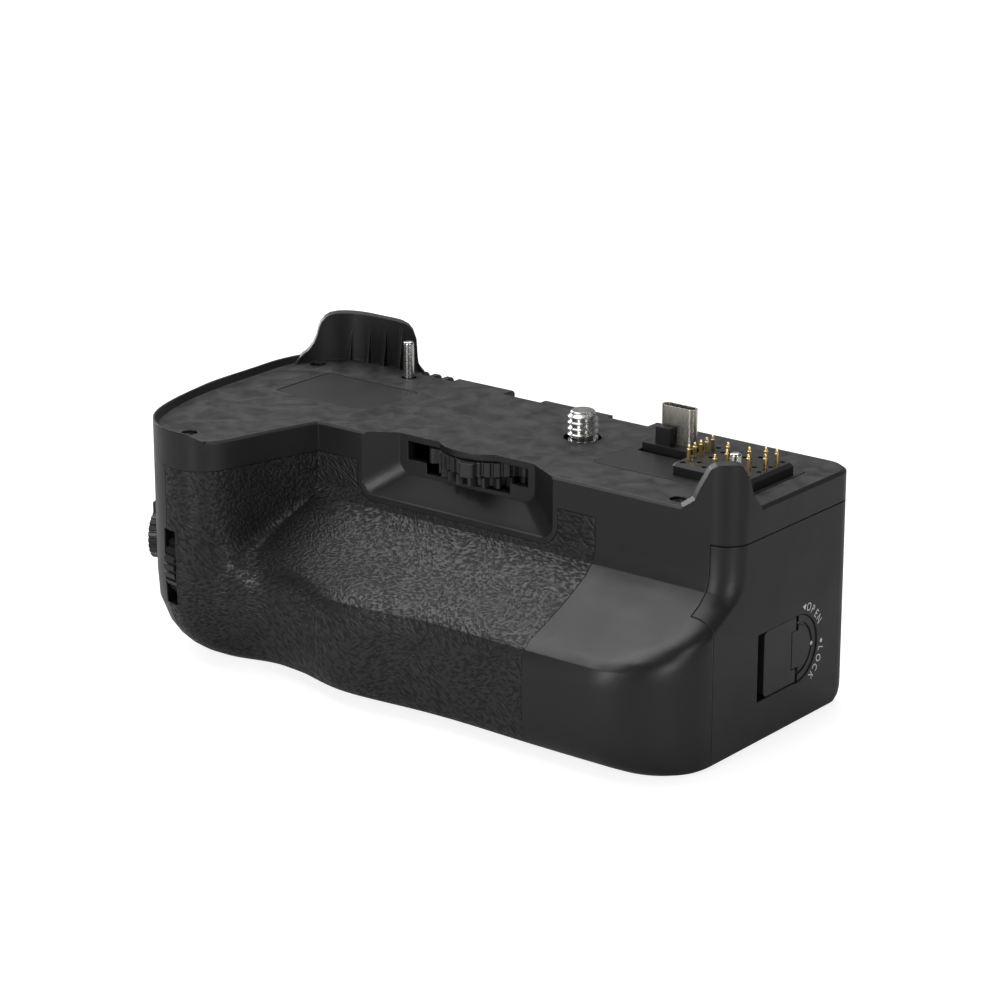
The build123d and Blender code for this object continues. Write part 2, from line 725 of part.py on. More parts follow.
def cover_zone(gap):
    """Region under the grained covering, shrunk by gap at its edges."""
    notch_z = HEIGHT - RECESS_DROP - COVER_NOTCH_MARGIN
    zone = block(
        COVER_LEFT_X + gap, COVER_RIGHT_X - gap, FRONT_Y - OVERRUN, COVER_BACK_Y,
        COVER_FOOT_Z + gap, BAND_Z - gap,
    )
    plan = RectangleRounded(
        RECESS_RIGHT_X - RECESS_LEFT_X + 2 * (COVER_NOTCH_MARGIN + gap),
        2 * (BAND_Z - notch_z + gap), RECESS_R + COVER_NOTCH_MARGIN,
    )
    plane = Plane(
        origin=((RECESS_LEFT_X + RECESS_RIGHT_X) / 2, WALL_Y + CORNER_R, BAND_Z),
        x_dir=(1, 0, 0), z_dir=(0, -1, 0),
    )
    notch = plane.location * extrude(plan, 2 * CORNER_R)
    return zone - notch


def panel_zone(gap):
    """Region of the smooth control panel, shrunk by gap at its edges."""
    return block(
        LEFT_X - OVERRUN, COVER_LEFT_X - gap, FRONT_Y - OVERRUN, PANEL_BACK_Y - gap,
        -OVERRUN, BAND_Z - gap,
    )


def cap_zone(gap):
    """Region of the end cap, shrunk by gap at its edges."""
    return block(
        CAP_X + gap, RIGHT_X + OVERRUN, END_FLAT_Y + gap, BACK_Y + OVERRUN,
        -OVERRUN, CAP_TOP_Z - gap,
    )


def recess_cuts():
    """Tapered finger recess, open at the deck, and the slot behind it."""
    def mouth(y, x0, x1, drop):
        top = HEIGHT + OVERRUN + RECESS_R
        low = HEIGHT - drop
        plane = Plane(origin=((x0 + x1) / 2, y, (top + low) / 2), x_dir=(1, 0, 0), z_dir=(0, -1, 0))
        return plane.location * RectangleRounded(x1 - x0, top - low, RECESS_R).face()

    outer = mouth(WALL_Y, RECESS_LEFT_X, RECESS_RIGHT_X, RECESS_DROP)
    inner = mouth(
        WALL_Y + RECESS_SETBACK, RECESS_INNER_LEFT_X, RECESS_INNER_RIGHT_X, RECESS_INNER_DROP)
    scoop = loft([outer, inner], ruled=True)
    clear = extrude(outer, OVERRUN, dir=(0, -1, 0))
    slot_top = HEIGHT - HOOD_THICKNESS
    slot = block(
        SLOT_LEFT_X, SLOT_RIGHT_X, WALL_Y + RECESS_SETBACK - OVERRUN, BAY_FRONT_Y + OVERRUN,
        WHEEL_Z - WHEEL_SIDE_GAP, slot_top,
    )
    cavity = drum(
        WHEEL_X, WHEEL_Y, GEAR_Z - POST_GAP, slot_top, WHEEL_LUG_R + WHEEL_SIDE_GAP)
    return [scoop, clear, slot, cavity]


def hood():
    """Curved lip of the deck over the front of the wheel."""
    disc = drum(WHEEL_X, WHEEL_Y, HEIGHT - HOOD_THICKNESS, HEIGHT, HOOD_R)
    wall = WALL_Y + RECESS_SETBACK
    return disc & block(
        WHEEL_X - HOOD_R, WHEEL_X + HOOD_R, WALL_Y, wall + OVERRUN,
        HEIGHT - HOOD_THICKNESS - OVERRUN, HEIGHT + OVERRUN,
    )


def inside_cuts():
    """Battery chamber, mechanism bay and the rebate for the frame."""
    chamber = block(
        CHAMBER_LEFT_X, RIGHT_X, CHAMBER_FRONT_Y, CHAMBER_BACK_Y, CHAMBER_FLOOR_Z, CHAMBER_TOP_Z)
    bay = block(
        BAY_LEFT_X, BAY_SPLIT_X, BAY_FRONT_Y, BAY_BACK_Y, CHAMBER_TOP_Z - OVERRUN, BAY_TOP_Z)
    board_bay = block(
        BAY_LEFT_X, BAY_RIGHT_X, BAY_FRONT_Y, BAY_BACK_Y, CHAMBER_TOP_Z - OVERRUN, CONNECTOR_Z)
    rebate = frame_plan(0.0, CHAMBER_TOP_Z - OVERRUN, FRAME_TOP_Z)
    bolt = block(
        CAP_X - BOLT_THICKNESS - 2 * BOLT_GAP, CAP_X + OVERRUN,
        LATCH_Y - BOLT_WIDTH / 2 - BOLT_GAP, LATCH_Y + BOLT_WIDTH / 2 + BOLT_GAP,
        CHAMBER_TOP_Z - OVERRUN, CHAMBER_TOP_Z + BOLT_TIP_RISE + BOLT_GAP,
    )
    return [chamber, bay, board_bay, rebate, bolt]


def frame_plan(gap, z0, z1):
    """Plan of the frame plate, with a gap all round."""
    return block(
        BAY_LEFT_X - FRAME_LEDGE + gap, BAY_RIGHT_X - gap,
        BAY_FRONT_Y - FRAME_LEDGE + gap, BAY_BACK_Y + FRAME_LEDGE - TRAY_GAP - gap,
        z0, z1,
    )


def deck_cuts():
    """Everything that opens in the deck."""
    plate = plate_plan(0.0, PLATE_Z, HEIGHT + OVERRUN)
    screw = drum(SCREW_X, SCREW_Y, BAY_TOP_Z - OVERRUN, HEIGHT + OVERRUN, SCREW_HOLE_R)
    axle = drum(WHEEL_X, WHEEL_Y, WHEEL_TOP_Z, HEIGHT - HOOD_THICKNESS + AXLE_SEAT, AXLE_R)
    patch = patch_plan(0.0, HEIGHT - PATCH_THICKNESS - PATCH_DROP, HEIGHT + OVERRUN)
    notch = block(
        NOTCH_LEFT_X, NOTCH_RIGHT_X, BACK_Y - NOTCH_DEPTH, BACK_Y + OVERRUN,
        HEIGHT - NOTCH_HEIGHT, HEIGHT + OVERRUN,
    )
    tab = block(
        NOTCH_TAB_LEFT_X, NOTCH_TAB_RIGHT_X, BACK_Y - NOTCH_DEPTH - OVERRUN, BACK_Y - NOTCH_SHALLOW,
        HEIGHT - NOTCH_HEIGHT, HEIGHT + OVERRUN,
    )
    cuts = [plate, screw, axle, patch, notch - tab]
    for x, y in zip(DECK_SCREW_XS, DECK_SCREW_YS):
        seat = HEIGHT - DECK_SCREW_SUNK - DECK_SCREW_HEAD
        cuts.append(drum(x, y, seat, HEIGHT + OVERRUN, DECK_SCREW_HOLE_R))
        cuts.append(drum(x, y, seat - DECK_SCREW_LENGTH, seat, DECK_SCREW_SHANK_R))
    for index in range(BACK_SLOT_COUNT):
        x = BACK_SLOT_X + (index - (BACK_SLOT_COUNT - 1) / 2) * BACK_SLOT_PITCH
        cuts.append(block(
            x - BACK_SLOT_WIDTH / 2, x + BACK_SLOT_WIDTH / 2,
            BACK_Y - BACK_SLOT_LENGTH, BACK_Y + OVERRUN,
            HEIGHT - BACK_SLOT_DEPTH, HEIGHT + OVERRUN,
        ))
    cuts.append(drum(PIN_LEFT_X, PIN_LEFT_Y, HEIGHT - PIN_SEAT, HEIGHT + OVERRUN, PIN_SEAT_R))
    cuts.append(drum(PIN_LEFT_X, PIN_LEFT_Y, HEIGHT - PIN_HOLE_DEPTH, HEIGHT + OVERRUN, PIN_HOLE_R))
    cuts.append(drum(PIN_RIGHT_X, PIN_RIGHT_Y, HEIGHT - PIN_SEAT, HEIGHT, PIN_SEAT_R))
    return cuts


def plate_plan(gap, z0, z1):
    """Plan of the connector plate, with the gap that shows at front and right."""
    return rounded_block(
        PLATE_LEFT_X, PLATE_RIGHT_X - gap, PLATE_FRONT_Y + gap, PLATE_BACK_Y, z0, z1, PLATE_CORNER_R)


def patch_plan(gap, z0, z1):
    """Plan of the smooth patch, with one corner of larger radius."""
    patch = rounded_block(
        PATCH_LEFT_X + gap, PATCH_RIGHT_X - gap, PATCH_FRONT_Y + gap, PATCH_BACK_Y - gap,
        z0, z1, PATCH_R,
    )
    corner = block(
        PATCH_RIGHT_X - PATCH_ROUND_R, PATCH_RIGHT_X, PATCH_FRONT_Y, PATCH_FRONT_Y + PATCH_ROUND_R,
        z0, z1,
    )
    keep = drum(PATCH_RIGHT_X - PATCH_ROUND_R, PATCH_FRONT_Y + PATCH_ROUND_R, z0, z1, PATCH_ROUND_R - gap)
    return patch - (corner - keep)


def front_dial_plane():
    """Dial centre with Z along its axle and X out of the grip."""
    turn = math.radians(FRONT_DIAL_ANGLE)
    axis = (math.cos(turn), math.sin(turn), 0)
    out = (math.sin(turn), -math.cos(turn), 0)
    return Plane(origin=(FRONT_DIAL_X, FRONT_DIAL_Y, FRONT_DIAL_Z), x_dir=out, z_dir=axis)


def rear_dial_plane():
    """Rear dial centre with Z along its upright axle."""
    return Plane(origin=(REAR_DIAL_X, REAR_DIAL_Y, REAR_DIAL_Z), x_dir=(0, 1, 0), z_dir=(0, 0, 1))


def shutter_plane():
    """Point on the grip's skin under the shutter button, Z outwards."""
    turn = math.radians(SHUTTER_ANGLE)
    return Plane(
        origin=(SHUTTER_X, SHUTTER_Y, SHUTTER_Z),
        x_dir=(0, 0, 1), z_dir=(math.cos(turn), math.sin(turn), 0),
    )


def back_plane(x, z):
    """Point on the back face, Z outwards."""
    return Plane(origin=(x, BACK_Y, z), x_dir=(-1, 0, 0), z_dir=(0, 1, 0))


def dial_cavity(plane):
    """Round pocket in which a dial turns."""
    half = DIAL_THICKNESS / 2 + DIAL_SIDE_GAP
    return rod(plane, -half, half, DIAL_R + DIAL_GAP)


def dial_axle_rod(plane):
    """Axle of a dial."""
    return rod(plane, -DIAL_AXLE_LENGTH / 2, DIAL_AXLE_LENGTH / 2, DIAL_AXLE_R)


def front_slot():
    """Upright slot in the grip's skin through which the front dial shows."""
    half = DIAL_THICKNESS / 2 + DIAL_SIDE_GAP
    return brick(
        front_dial_plane(), DIAL_R - DIAL_GAP - PANEL_SKIN - COVER_SKIN, DIAL_R + OVERRUN,
        -FRONT_SLOT_HEIGHT / 2, FRONT_SLOT_HEIGHT / 2, -half, half,
    )


def control_cuts():
    """Pockets in the housing for dials, buttons, stick and thumb pad."""
    shutter = shutter_plane()
    well = BUTTON_LENGTH - BUTTON_RISE + BUTTON_TRAVEL + SWITCH_GAP + SWITCH_HEIGHT
    cuts = [
        dial_cavity(front_dial_plane()), dial_axle_rod(front_dial_plane()), front_slot(),
        dial_cavity(rear_dial_plane()), dial_axle_rod(rear_dial_plane()),
        rod(shutter, -well, OVERRUN, BUTTON_WELL_R),
        thumb_pad_plan(SEAT_GAP, -THUMB_PAD_SUNK, OVERRUN),
    ]
    for x, z, radius in rear_buttons():
        cuts.append(rod(back_plane(x, z), -rear_well_depth(), OVERRUN, radius + REAR_BUTTON_GAP))
    stick = back_plane(STICK_X, STICK_Z)
    cuts.append(rod(stick, -STICK_WELL_DEPTH, OVERRUN, STICK_WELL_R))
    reach = STICK_WELL_R + TRUNNION_SEAT + FIT
    cuts.append(rod(ring_pivot_plane(), -reach, reach, TRUNNION_R + TRUNNION_GAP))
    return cuts


def rear_buttons():
    """Place and radius of each round button on the back."""
    return [
        (AF_BUTTON_X, AF_BUTTON_Z, AF_BUTTON_R),
        (FUNCTION_BUTTON_X, FUNCTION_BUTTON_Z, FUNCTION_BUTTON_R),
    ]


def rear_well_depth():
    """Depth of the pocket behind a rear button."""
    return REAR_BUTTON_SUNK + REAR_BUTTON_TRAVEL + SWITCH_GAP + REAR_SWITCH_HEIGHT


def thumb_pad_plan(gap, start, end):
    """Rounded plan of the thumb pad on the back face."""
    plan = RectangleRounded(THUMB_PAD_LENGTH + 2 * gap, THUMB_PAD_HEIGHT + 2 * gap, THUMB_PAD_R)
    return back_plane(THUMB_PAD_X, THUMB_PAD_Z).location * Pos(0, 0, start) * extrude(plan, end - start)


def foot_plate_plan(gap, z0, z1):
    """Plan of the metal plate in the underside."""
    return rounded_block(
        SOCKET_X - FOOT_PLATE_LENGTH / 2 - gap, SOCKET_X + FOOT_PLATE_LENGTH / 2 + gap,
        FOOT_PLATE_FRONT_Y - gap, FOOT_PLATE_FRONT_Y + FOOT_PLATE_DEPTH + gap, z0, z1, FOOT_PLATE_R)


def socket_y():
    """Depth position of the tripod socket, on the plate's centre line."""
    return FOOT_PLATE_FRONT_Y + FOOT_PLATE_DEPTH / 2


def foot_screw_places():
    """Places of the screws that hold the foot plate."""
    half = FOOT_SCREW_SPACING / 2
    return [(SOCKET_X - half, socket_y()), (SOCKET_X + half, socket_y())]


def foot_cuts():
    """Recess for the foot plate, bore for the socket and screw holes."""
    cuts = [
        foot_plate_plan(SEAT_GAP, -OVERRUN, FOOT_PLATE_THICKNESS),
        drum(SOCKET_X, socket_y(), 0, SOCKET_DEPTH, SOCKET_R + SOCKET_WALL),
    ]
    for x, y in foot_screw_places():
        cuts.append(drum(x, y, 0, FOOT_SCREW_LENGTH, DECK_SCREW_SHANK_R))
    return cuts


def main_housing():
    """Moulded housing with the deck, band, back and chamber walls."""
    body = body_block() + deck_band()
    body += deck_rims()
    body -= [panel_zone(0.0) - body_block(PANEL_SKIN + SEAT_GAP)]
    body -= [cover_zone(0.0) - body_block(COVER_SKIN + SEAT_GAP)]
    body -= [cap_zone(0.0)]
    body -= recess_cuts() + inside_cuts()
    body -= deck_cuts() + control_cuts() + foot_cuts()
    return body + hood()


def control_panel():
    """Smooth panel on the hand grip's front, with its dial slot and boss."""
    panel = (body_block() & panel_zone(SEAM / 2)) - body_block(PANEL_SKIN)
    shutter = shutter_plane()
    panel -= [
        front_slot(), dial_cavity(front_dial_plane()),
        rod(shutter, -SHUTTER_SEAT_DEPTH, OVERRUN + LEVER_RISE, SHUTTER_SEAT_R),
        rod(shutter, -PANEL_SKIN - OVERRUN, OVERRUN, BUTTON_R + FIT),
    ]
    boss = rod(shutter, -PANEL_SKIN / 2, LEVER_RISE - LEVER_GAP, BOSS_R)
    return panel + (boss - rod(shutter, -PANEL_SKIN, BUTTON_RISE, BUTTON_R + FIT))


def front_grip_cover():
    """Grained covering over the front of grip and ridge."""
    cover = (body_block() & cover_zone(SEAM / 2)) - body_block(COVER_SKIN)
    return cover - [dial_cavity(front_dial_plane()), front_slot()]


def thumb_pad():
    """Soft pad on the back for the thumb."""
    pad = thumb_pad_plan(0.0, -THUMB_PAD_SUNK, THUMB_PAD_PROUD)
    return chamfer(pad.faces().sort_by(Axis.Y)[-1].edges(), THUMB_PAD_CHAMFER)


def deck_patch():
    """Smooth patch let into the deck."""
    return patch_plan(SEAT_GAP, HEIGHT - PATCH_THICKNESS - PATCH_DROP, HEIGHT - PATCH_DROP)


def plug_window(gap, z0, z1):
    """Opening in the connector plate round the plug."""
    return rounded_block(
        PLUG_X - PLUG_WINDOW_X + gap, PLUG_X + PLUG_WINDOW_X - gap,
        PLUG_Y - PLUG_WINDOW_FRONT + gap, PLUG_Y + PLUG_WINDOW_BACK - gap, z0, z1, PLATE_CORNER_R / 2)


def connector_plate():
    """Plate in the deck round the plug and the contact block."""
    plate = plate_plan(PLATE_GROOVE, PLATE_Z, HEIGHT)
    return plate - [
        plug_window(0.0, PLATE_Z - OVERRUN, HEIGHT + OVERRUN),
        rounded_block(
            BLOCK_LEFT_X - BLOCK_GAP, BLOCK_RIGHT_X + BLOCK_GAP,
            BLOCK_FRONT_Y - BLOCK_GAP, BLOCK_BACK_Y + BLOCK_GAP,
            PLATE_Z - OVERRUN, HEIGHT + OVERRUN, BLOCK_CORNER_R,
        ),
        drum(PIN_RIGHT_X, PIN_RIGHT_Y, PLATE_Z - OVERRUN, HEIGHT + OVERRUN, PIN_SEAT_R + FIT),
    ]


def contact_places():
    """Grid of contact holes: those that hold a sprung contact, and the rest."""
    filled, empty = [], []
    sprung = {
        (0, 1), (0, 2), (0, 3), (0, 4), (0, 5), (4, 1), (3, 2), (5, 2), (6, 3),
        (4, 4), (6, 5), (2, 4), (5, 5), (3, 0), (5, 0),
    }
    columns = int((BLOCK_RIGHT_X - CONTACT_FIRST_X - CONTACT_R) / CONTACT_PITCH_X) + 1
    rows = int((BLOCK_BACK_Y - CONTACT_FIRST_Y - CONTACT_R) / CONTACT_PITCH_Y) + 1
    for column in range(columns):
        for row in range(rows):
            place = (CONTACT_FIRST_X + column * CONTACT_PITCH_X, CONTACT_FIRST_Y + row * CONTACT_PITCH_Y)
            if (column, row) in sprung:
                filled.append(place)
            elif (column + row) % 2 == 0:
                empty.append(place)
    return filled, empty


def contact_block():
    """Raised block with its grid of contact holes."""
    top = HEIGHT + BLOCK_RISE
    body = rounded_block(
        BLOCK_LEFT_X, BLOCK_RIGHT_X, BLOCK_FRONT_Y, BLOCK_BACK_Y, PLATE_Z, top, BLOCK_CORNER_R)
    body = chamfer(body.faces().sort_by(Axis.Z)[-1].edges(), BLOCK_CHAMFER)
    filled, empty = contact_places()
    holes = [drum(x, y, PLATE_Z - OVERRUN, top + OVERRUN, CONTACT_R + FIT) for x, y in filled]
    holes += [drum(x, y, top - EMPTY_HOLE_DEPTH, top + OVERRUN, CONTACT_HOLE_R) for x, y in empty]
    return body - holes


def contact_pins():
    """Sprung contacts, all in one node."""
    foot = PLATE_Z + CONTACT_TRAVEL + CONTACT_FOOT_GAP
    top = HEIGHT + BLOCK_RISE + CONTACT_PROUD
    pins = []
    for x, y in contact_places()[0]:
        pin = drum(x, y, foot, top, CONTACT_R)
        pins.append(fillet(pin.faces().sort_by(Axis.Z)[-1].edges(), CONTACT_R / 2))
    return Compound(children=pins)


def plug_profile(shrink):
    """Flat-sided oval of the plug, drawn in by shrink."""
    return SlotOverall(PLUG_WIDTH - 2 * shrink, PLUG_HEIGHT - 2 * shrink)


def plug_foot_z():
    """Underside of the plug in its base block."""
    return HEIGHT + USB_BASE_RISE - PLUG_SEAT


def plug_shell():
    """Folded metal shell of the plug."""
    height = HEIGHT + PLUG_TOP_RISE - plug_foot_z()
    tube = extrude(plug_profile(0.0), height) - Pos(0, 0, PLUG_WALL) * extrude(plug_profile(PLUG_WALL), height)
    return Pos(PLUG_X, PLUG_Y, plug_foot_z()) * tube


def plug_insert():
    """Moulded insert with the slot for the socket's tongue."""
    height = HEIGHT + PLUG_TOP_RISE - INSERT_DROP - plug_foot_z() - PLUG_WALL
    core = extrude(plug_profile(PLUG_WALL), height)
    slot = Pos(0, 0, height) * extrude(
        Rectangle(INSERT_SLOT_WIDTH, INSERT_SLOT_HEIGHT), -INSERT_SLOT_DEPTH)
    return Pos(PLUG_X, PLUG_Y, plug_foot_z() + PLUG_WALL) * (core - slot)


def plug_base():
    """Block that carries the plug, with a low tower in front of it."""
    base = block(
        PLUG_X - USB_BASE_LEFT, PLUG_X + USB_BASE_RIGHT,
        PLUG_Y - USB_BASE_FRONT, PLUG_Y + USB_BASE_BACK, PLATE_Z, HEIGHT + USB_BASE_RISE,
    )
    tower = block(
        PLUG_X - USB_TOWER_LEFT, PLUG_X, PLUG_Y - USB_TOWER_FRONT,
        PLUG_Y - USB_TOWER_FRONT + USB_TOWER_DEPTH, HEIGHT, HEIGHT + USB_TOWER_RISE,
    )
    seat = Pos(PLUG_X, PLUG_Y, plug_foot_z()) * extrude(plug_profile(0.0), PLUG_SEAT + OVERRUN)
    return base + tower - seat


def locating_pins():
    """Two steel pins that line the grip up with the camera."""
    pins = []
    for x, y in [(PIN_LEFT_X, PIN_LEFT_Y), (PIN_RIGHT_X, PIN_RIGHT_Y)]:
        pin = drum(x, y, HEIGHT, HEIGHT + PIN_RISE, PIN_R)
        pin = fillet(pin.faces().sort_by(Axis.Z)[-1].edges(), PIN_R / 2)
        pins.append(pin + drum(x, y, HEIGHT - PIN_SEAT, HEIGHT, PIN_SEAT_R))
    return Compound(children=pins)


def machine_screw(x, y, z, up):
    """Small screw whose head stands on z, the shank pointing the other way."""
    head = drum(0, 0, 0, DECK_SCREW_HEAD, DECK_SCREW_HEAD_R)
    head -= Pos(0, 0, DECK_SCREW_HEAD / 2) * extrude(
        RegularPolygon(DECK_SCREW_DRIVE_R, 6), DECK_SCREW_HEAD)
    screw = head + drum(0, 0, -DECK_SCREW_LENGTH, 0, DECK_SCREW_SHANK_R)
    if up:
        return Pos(x, y, z) * screw
    return Pos(x, y, z) * Rot(180, 0, 0) * screw


def deck_screws():
    """Screws that hold the deck to the chamber walls."""
    seat = HEIGHT - DECK_SCREW_SUNK - DECK_SCREW_HEAD
    return Compound(children=[
        machine_screw(x, y, seat, True) for x, y in zip(DECK_SCREW_XS, DECK_SCREW_YS)])


def foot_plate():
    """Metal plate let into the underside round the tripod socket."""
    plate = foot_plate_plan(0.0, 0, FOOT_PLATE_THICKNESS)
    plate -= drum(SOCKET_X, socket_y(), -OVERRUN, 2 * OVERRUN + FOOT_PLATE_THICKNESS, SOCKET_R + SOCKET_WALL)
    for x, y in foot_screw_places():
        plate -= drum(x, y, -OVERRUN, FOOT_PLATE_THICKNESS + OVERRUN, DECK_SCREW_HOLE_R)
    return plate


def tripod_socket():
    """Threaded bush for a tripod, kept as its thread's outer radius."""
    bush = drum(SOCKET_X, socket_y(), 0, SOCKET_DEPTH, SOCKET_R + SOCKET_WALL)
    return bush - drum(SOCKET_X, socket_y(), -OVERRUN, SOCKET_DEPTH - FOOT_PLATE_THICKNESS / 2, SOCKET_R)


def foot_screws():
    """Screws that hold the foot plate."""
    return Compound(children=[
        machine_screw(x, y, DECK_SCREW_HEAD, False) for x, y in foot_screw_places()])


def inner_frame():
    """Plate that closes the bay, with the posts that carry the mechanism."""
    frame = frame_plan(FRAME_GAP, CHAMBER_TOP_Z, FRAME_TOP_Z)
    post_top = GEAR_Z - POST_GAP
    frame += drum(WHEEL_X, WHEEL_Y, FRAME_TOP_Z, post_top, AXLE_POST_R)
    frame += drum(SCREW_X, SCREW_Y, FRAME_TOP_Z, post_top, BUSH_POST_R)
    for x, y in board_post_places():
        frame += drum(x, y, FRAME_TOP_Z, BOARD_Z, BOARD_POST_R)
    frame -= drum(WHEEL_X, WHEEL_Y, post_top - AXLE_FOOT, post_top, AXLE_R)
    frame -= drum(SCREW_X, SCREW_Y, post_top - BUSH_HEIGHT, post_top, BUSH_R)
    return frame - drum(
        SCREW_X, SCREW_Y, post_top - BUSH_HEIGHT - OVERRUN, post_top, SCREW_JOURNAL_R + 2 * FIT)


def board_post_places():
    """Corners at which the circuit board rests on the frame."""
    xs = (BOARD_LEFT_X + BOARD_POST_INSET, BOARD_RIGHT_X - BOARD_POST_INSET)
    ys = (BOARD_FRONT_Y + BOARD_POST_INSET, BOARD_BACK_Y - BOARD_POST_INSET)
    return [(x, y) for x in xs for y in ys]


def circuit_board():
    """Circuit board under the connector plate, with its taller parts."""
    board = block(
        BOARD_LEFT_X, BOARD_RIGHT_X, BOARD_FRONT_Y, BOARD_BACK_Y, BOARD_Z, BOARD_Z + BOARD_THICKNESS)
    top = BOARD_Z + BOARD_THICKNESS
    chip = (BOARD_RIGHT_X - BOARD_LEFT_X) / 3
    return board + block(
        BOARD_LEFT_X + chip, BOARD_RIGHT_X - chip, BOARD_FRONT_Y + chip / 2, BOARD_FRONT_Y + 3 * chip / 2,
        top, top + BOARD_THICKNESS,
    )


def gear_face(teeth, phase):
    """Involute spur gear about the origin, one tooth centred at phase."""
    pressure = math.radians(PRESSURE_ANGLE)
    pitch_r = GEAR_MODULE * teeth / 2
    base_r = pitch_r * math.cos(pressure)
    root_r = pitch_r - GEAR_DEDENDUM
    tip_r = pitch_r + GEAR_ADDENDUM
    low_r = max(root_r, base_r)
    half = math.pi / (2 * teeth) - GEAR_BACKLASH / (4 * pitch_r)
    flank = []
    for index in range(4):
        radius = low_r + (tip_r - low_r) * index / 3
        slope = math.acos(base_r / radius)
        turn = half + (math.tan(pressure) - pressure) - (math.tan(slope) - slope)
        flank.append((radius, turn))
    if root_r < low_r:
        flank.insert(0, (root_r, flank[0][1]))
    points = []
    for tooth in range(teeth):
        centre = math.radians(phase) + 2 * math.pi * tooth / teeth
        for radius, turn in flank:
            points.append((radius * math.cos(centre - turn), radius * math.sin(centre - turn)))
        for radius, turn in reversed(flank):
            points.append((radius * math.cos(centre + turn), radius * math.sin(centre + turn)))
    return make_face(Polyline(*points, close=True))


def knurl_face(radius, depth, teeth):
    """Disc with a ring of blunt teeth."""
    points = []
    step = 2 * math.pi / teeth
    for tooth in range(teeth):
        for share, drop in ((-0.28, 0.0), (0.28, 0.0), (0.42, depth), (0.58, depth)):
            angle = (tooth + share) * step
            points.append(((radius - drop) * math.cos(angle), (radius - drop) * math.sin(angle)))
    return make_face(Polyline(*points, close=True))


def lock_wheel():
    """Knurled wheel with finger lugs, and the gear under it."""
    rim = extrude(knurl_face(WHEEL_R, WHEEL_TOOTH_DEPTH, WHEEL_TEETH_COUNT), WHEEL_THICKNESS)
    lug = Pos(WHEEL_LUG_R - WHEEL_LUG_WIDTH / 2, 0, 0) * extrude(
        RectangleRounded(WHEEL_LUG_WIDTH, WHEEL_LUG_WIDTH, WHEEL_LUG_WIDTH / 4), WHEEL_THICKNESS)
    lugs = [Rot(0, 0, index * 360 / WHEEL_LUG_COUNT + SCREW_BEARING_ANGLE) * lug for index in range(WHEEL_LUG_COUNT)]
    rim = rim + lugs
    dish = Pos(0, 0, WHEEL_THICKNESS / 2) * (
        Cylinder(WHEEL_R - 3 * WHEEL_TOOTH_DEPTH, WHEEL_THICKNESS / 2, align=(Align.CENTER, Align.CENTER, Align.MIN))
        - Cylinder(AXLE_POST_R, WHEEL_THICKNESS, align=(Align.CENTER, Align.CENTER, Align.MIN)))
    wheel = Pos(WHEEL_X, WHEEL_Y, WHEEL_Z) * (rim - dish)
    gear = Pos(WHEEL_X, WHEEL_Y, GEAR_Z) * extrude(
        gear_face(WHEEL_GEAR_TEETH_COUNT, SCREW_BEARING_ANGLE), GEAR_THICKNESS)
    hub = drum(WHEEL_X, WHEEL_Y, GEAR_TOP_Z, WHEEL_Z, AXLE_POST_R)
    bore = drum(WHEEL_X, WHEEL_Y, GEAR_Z - OVERRUN, WHEEL_TOP_Z + OVERRUN, AXLE_R + FIT)
    return wheel + hub + gear - bore


def wheel_axle():
    """Steel pin between the frame and the deck on which the wheel turns."""
    foot = GEAR_Z - POST_GAP - AXLE_FOOT
    return drum(WHEEL_X, WHEEL_Y, foot, HEIGHT - HOOD_THICKNESS + AXLE_SEAT, AXLE_R)


def camera_screw():
    """Screw into the camera's socket, with its gear and lower journal."""
    phase = SCREW_BEARING_ANGLE + 180 + 180 / SCREW_GEAR_TEETH_COUNT
    top = HEIGHT + SCREW_PROUD
    shaft = drum(SCREW_X, SCREW_Y, HEIGHT, top, SCREW_R)
    shaft = chamfer(shaft.faces().sort_by(Axis.Z)[-1].edges(), SCREW_TIP_CHAMFER)
    shaft += drum(SCREW_X, SCREW_Y, GEAR_Z, HEIGHT, SCREW_NECK_R)
    gear = Pos(SCREW_X, SCREW_Y, GEAR_Z) * extrude(gear_face(SCREW_GEAR_TEETH_COUNT, phase), GEAR_THICKNESS)
    journal = drum(SCREW_X, SCREW_Y, GEAR_Z - SCREW_JOURNAL, GEAR_Z, SCREW_JOURNAL_R)
    return shaft + gear + journal


def screw_bush():
    """Bush in the frame that carries the screw."""
    top = GEAR_Z - POST_GAP
    bush = drum(SCREW_X, SCREW_Y, top - BUSH_HEIGHT, top, BUSH_R)
    return bush - drum(SCREW_X, SCREW_Y, top - BUSH_HEIGHT - OVERRUN, top + OVERRUN, SCREW_JOURNAL_R + FIT)


def command_dial(plane):
    """Knurled thumb dial."""
    knurl = extrude(knurl_face(DIAL_R, DIAL_TOOTH_DEPTH, DIAL_TEETH_COUNT), DIAL_THICKNESS)
    dial = plane.location * Pos(0, 0, -DIAL_THICKNESS / 2) * knurl
    return dial - rod(plane, -DIAL_THICKNESS, DIAL_THICKNESS, DIAL_AXLE_R + FIT)


def lock_lever():
    """Ribbed ring round the shutter button, with a finger tab."""
    plane = shutter_plane()
    foot = LEVER_GAP - SHUTTER_SEAT_DEPTH
    ring = extrude(knurl_face(LEVER_R, LEVER_RIB_DEPTH, LEVER_RIB_COUNT), LEVER_RISE - foot)
    ring = plane.location * Pos(0, 0, foot) * ring
    tab = brick(
        plane, LEVER_R - LEVER_RIB_DEPTH * 3, LEVER_TAB_R,
        -LEVER_TAB_WIDTH / 2, LEVER_TAB_WIDTH / 2, LEVER_TAB_RISE, LEVER_RISE,
    )
    return ring + tab - rod(plane, foot - OVERRUN, LEVER_RISE + OVERRUN, BOSS_R + FIT)


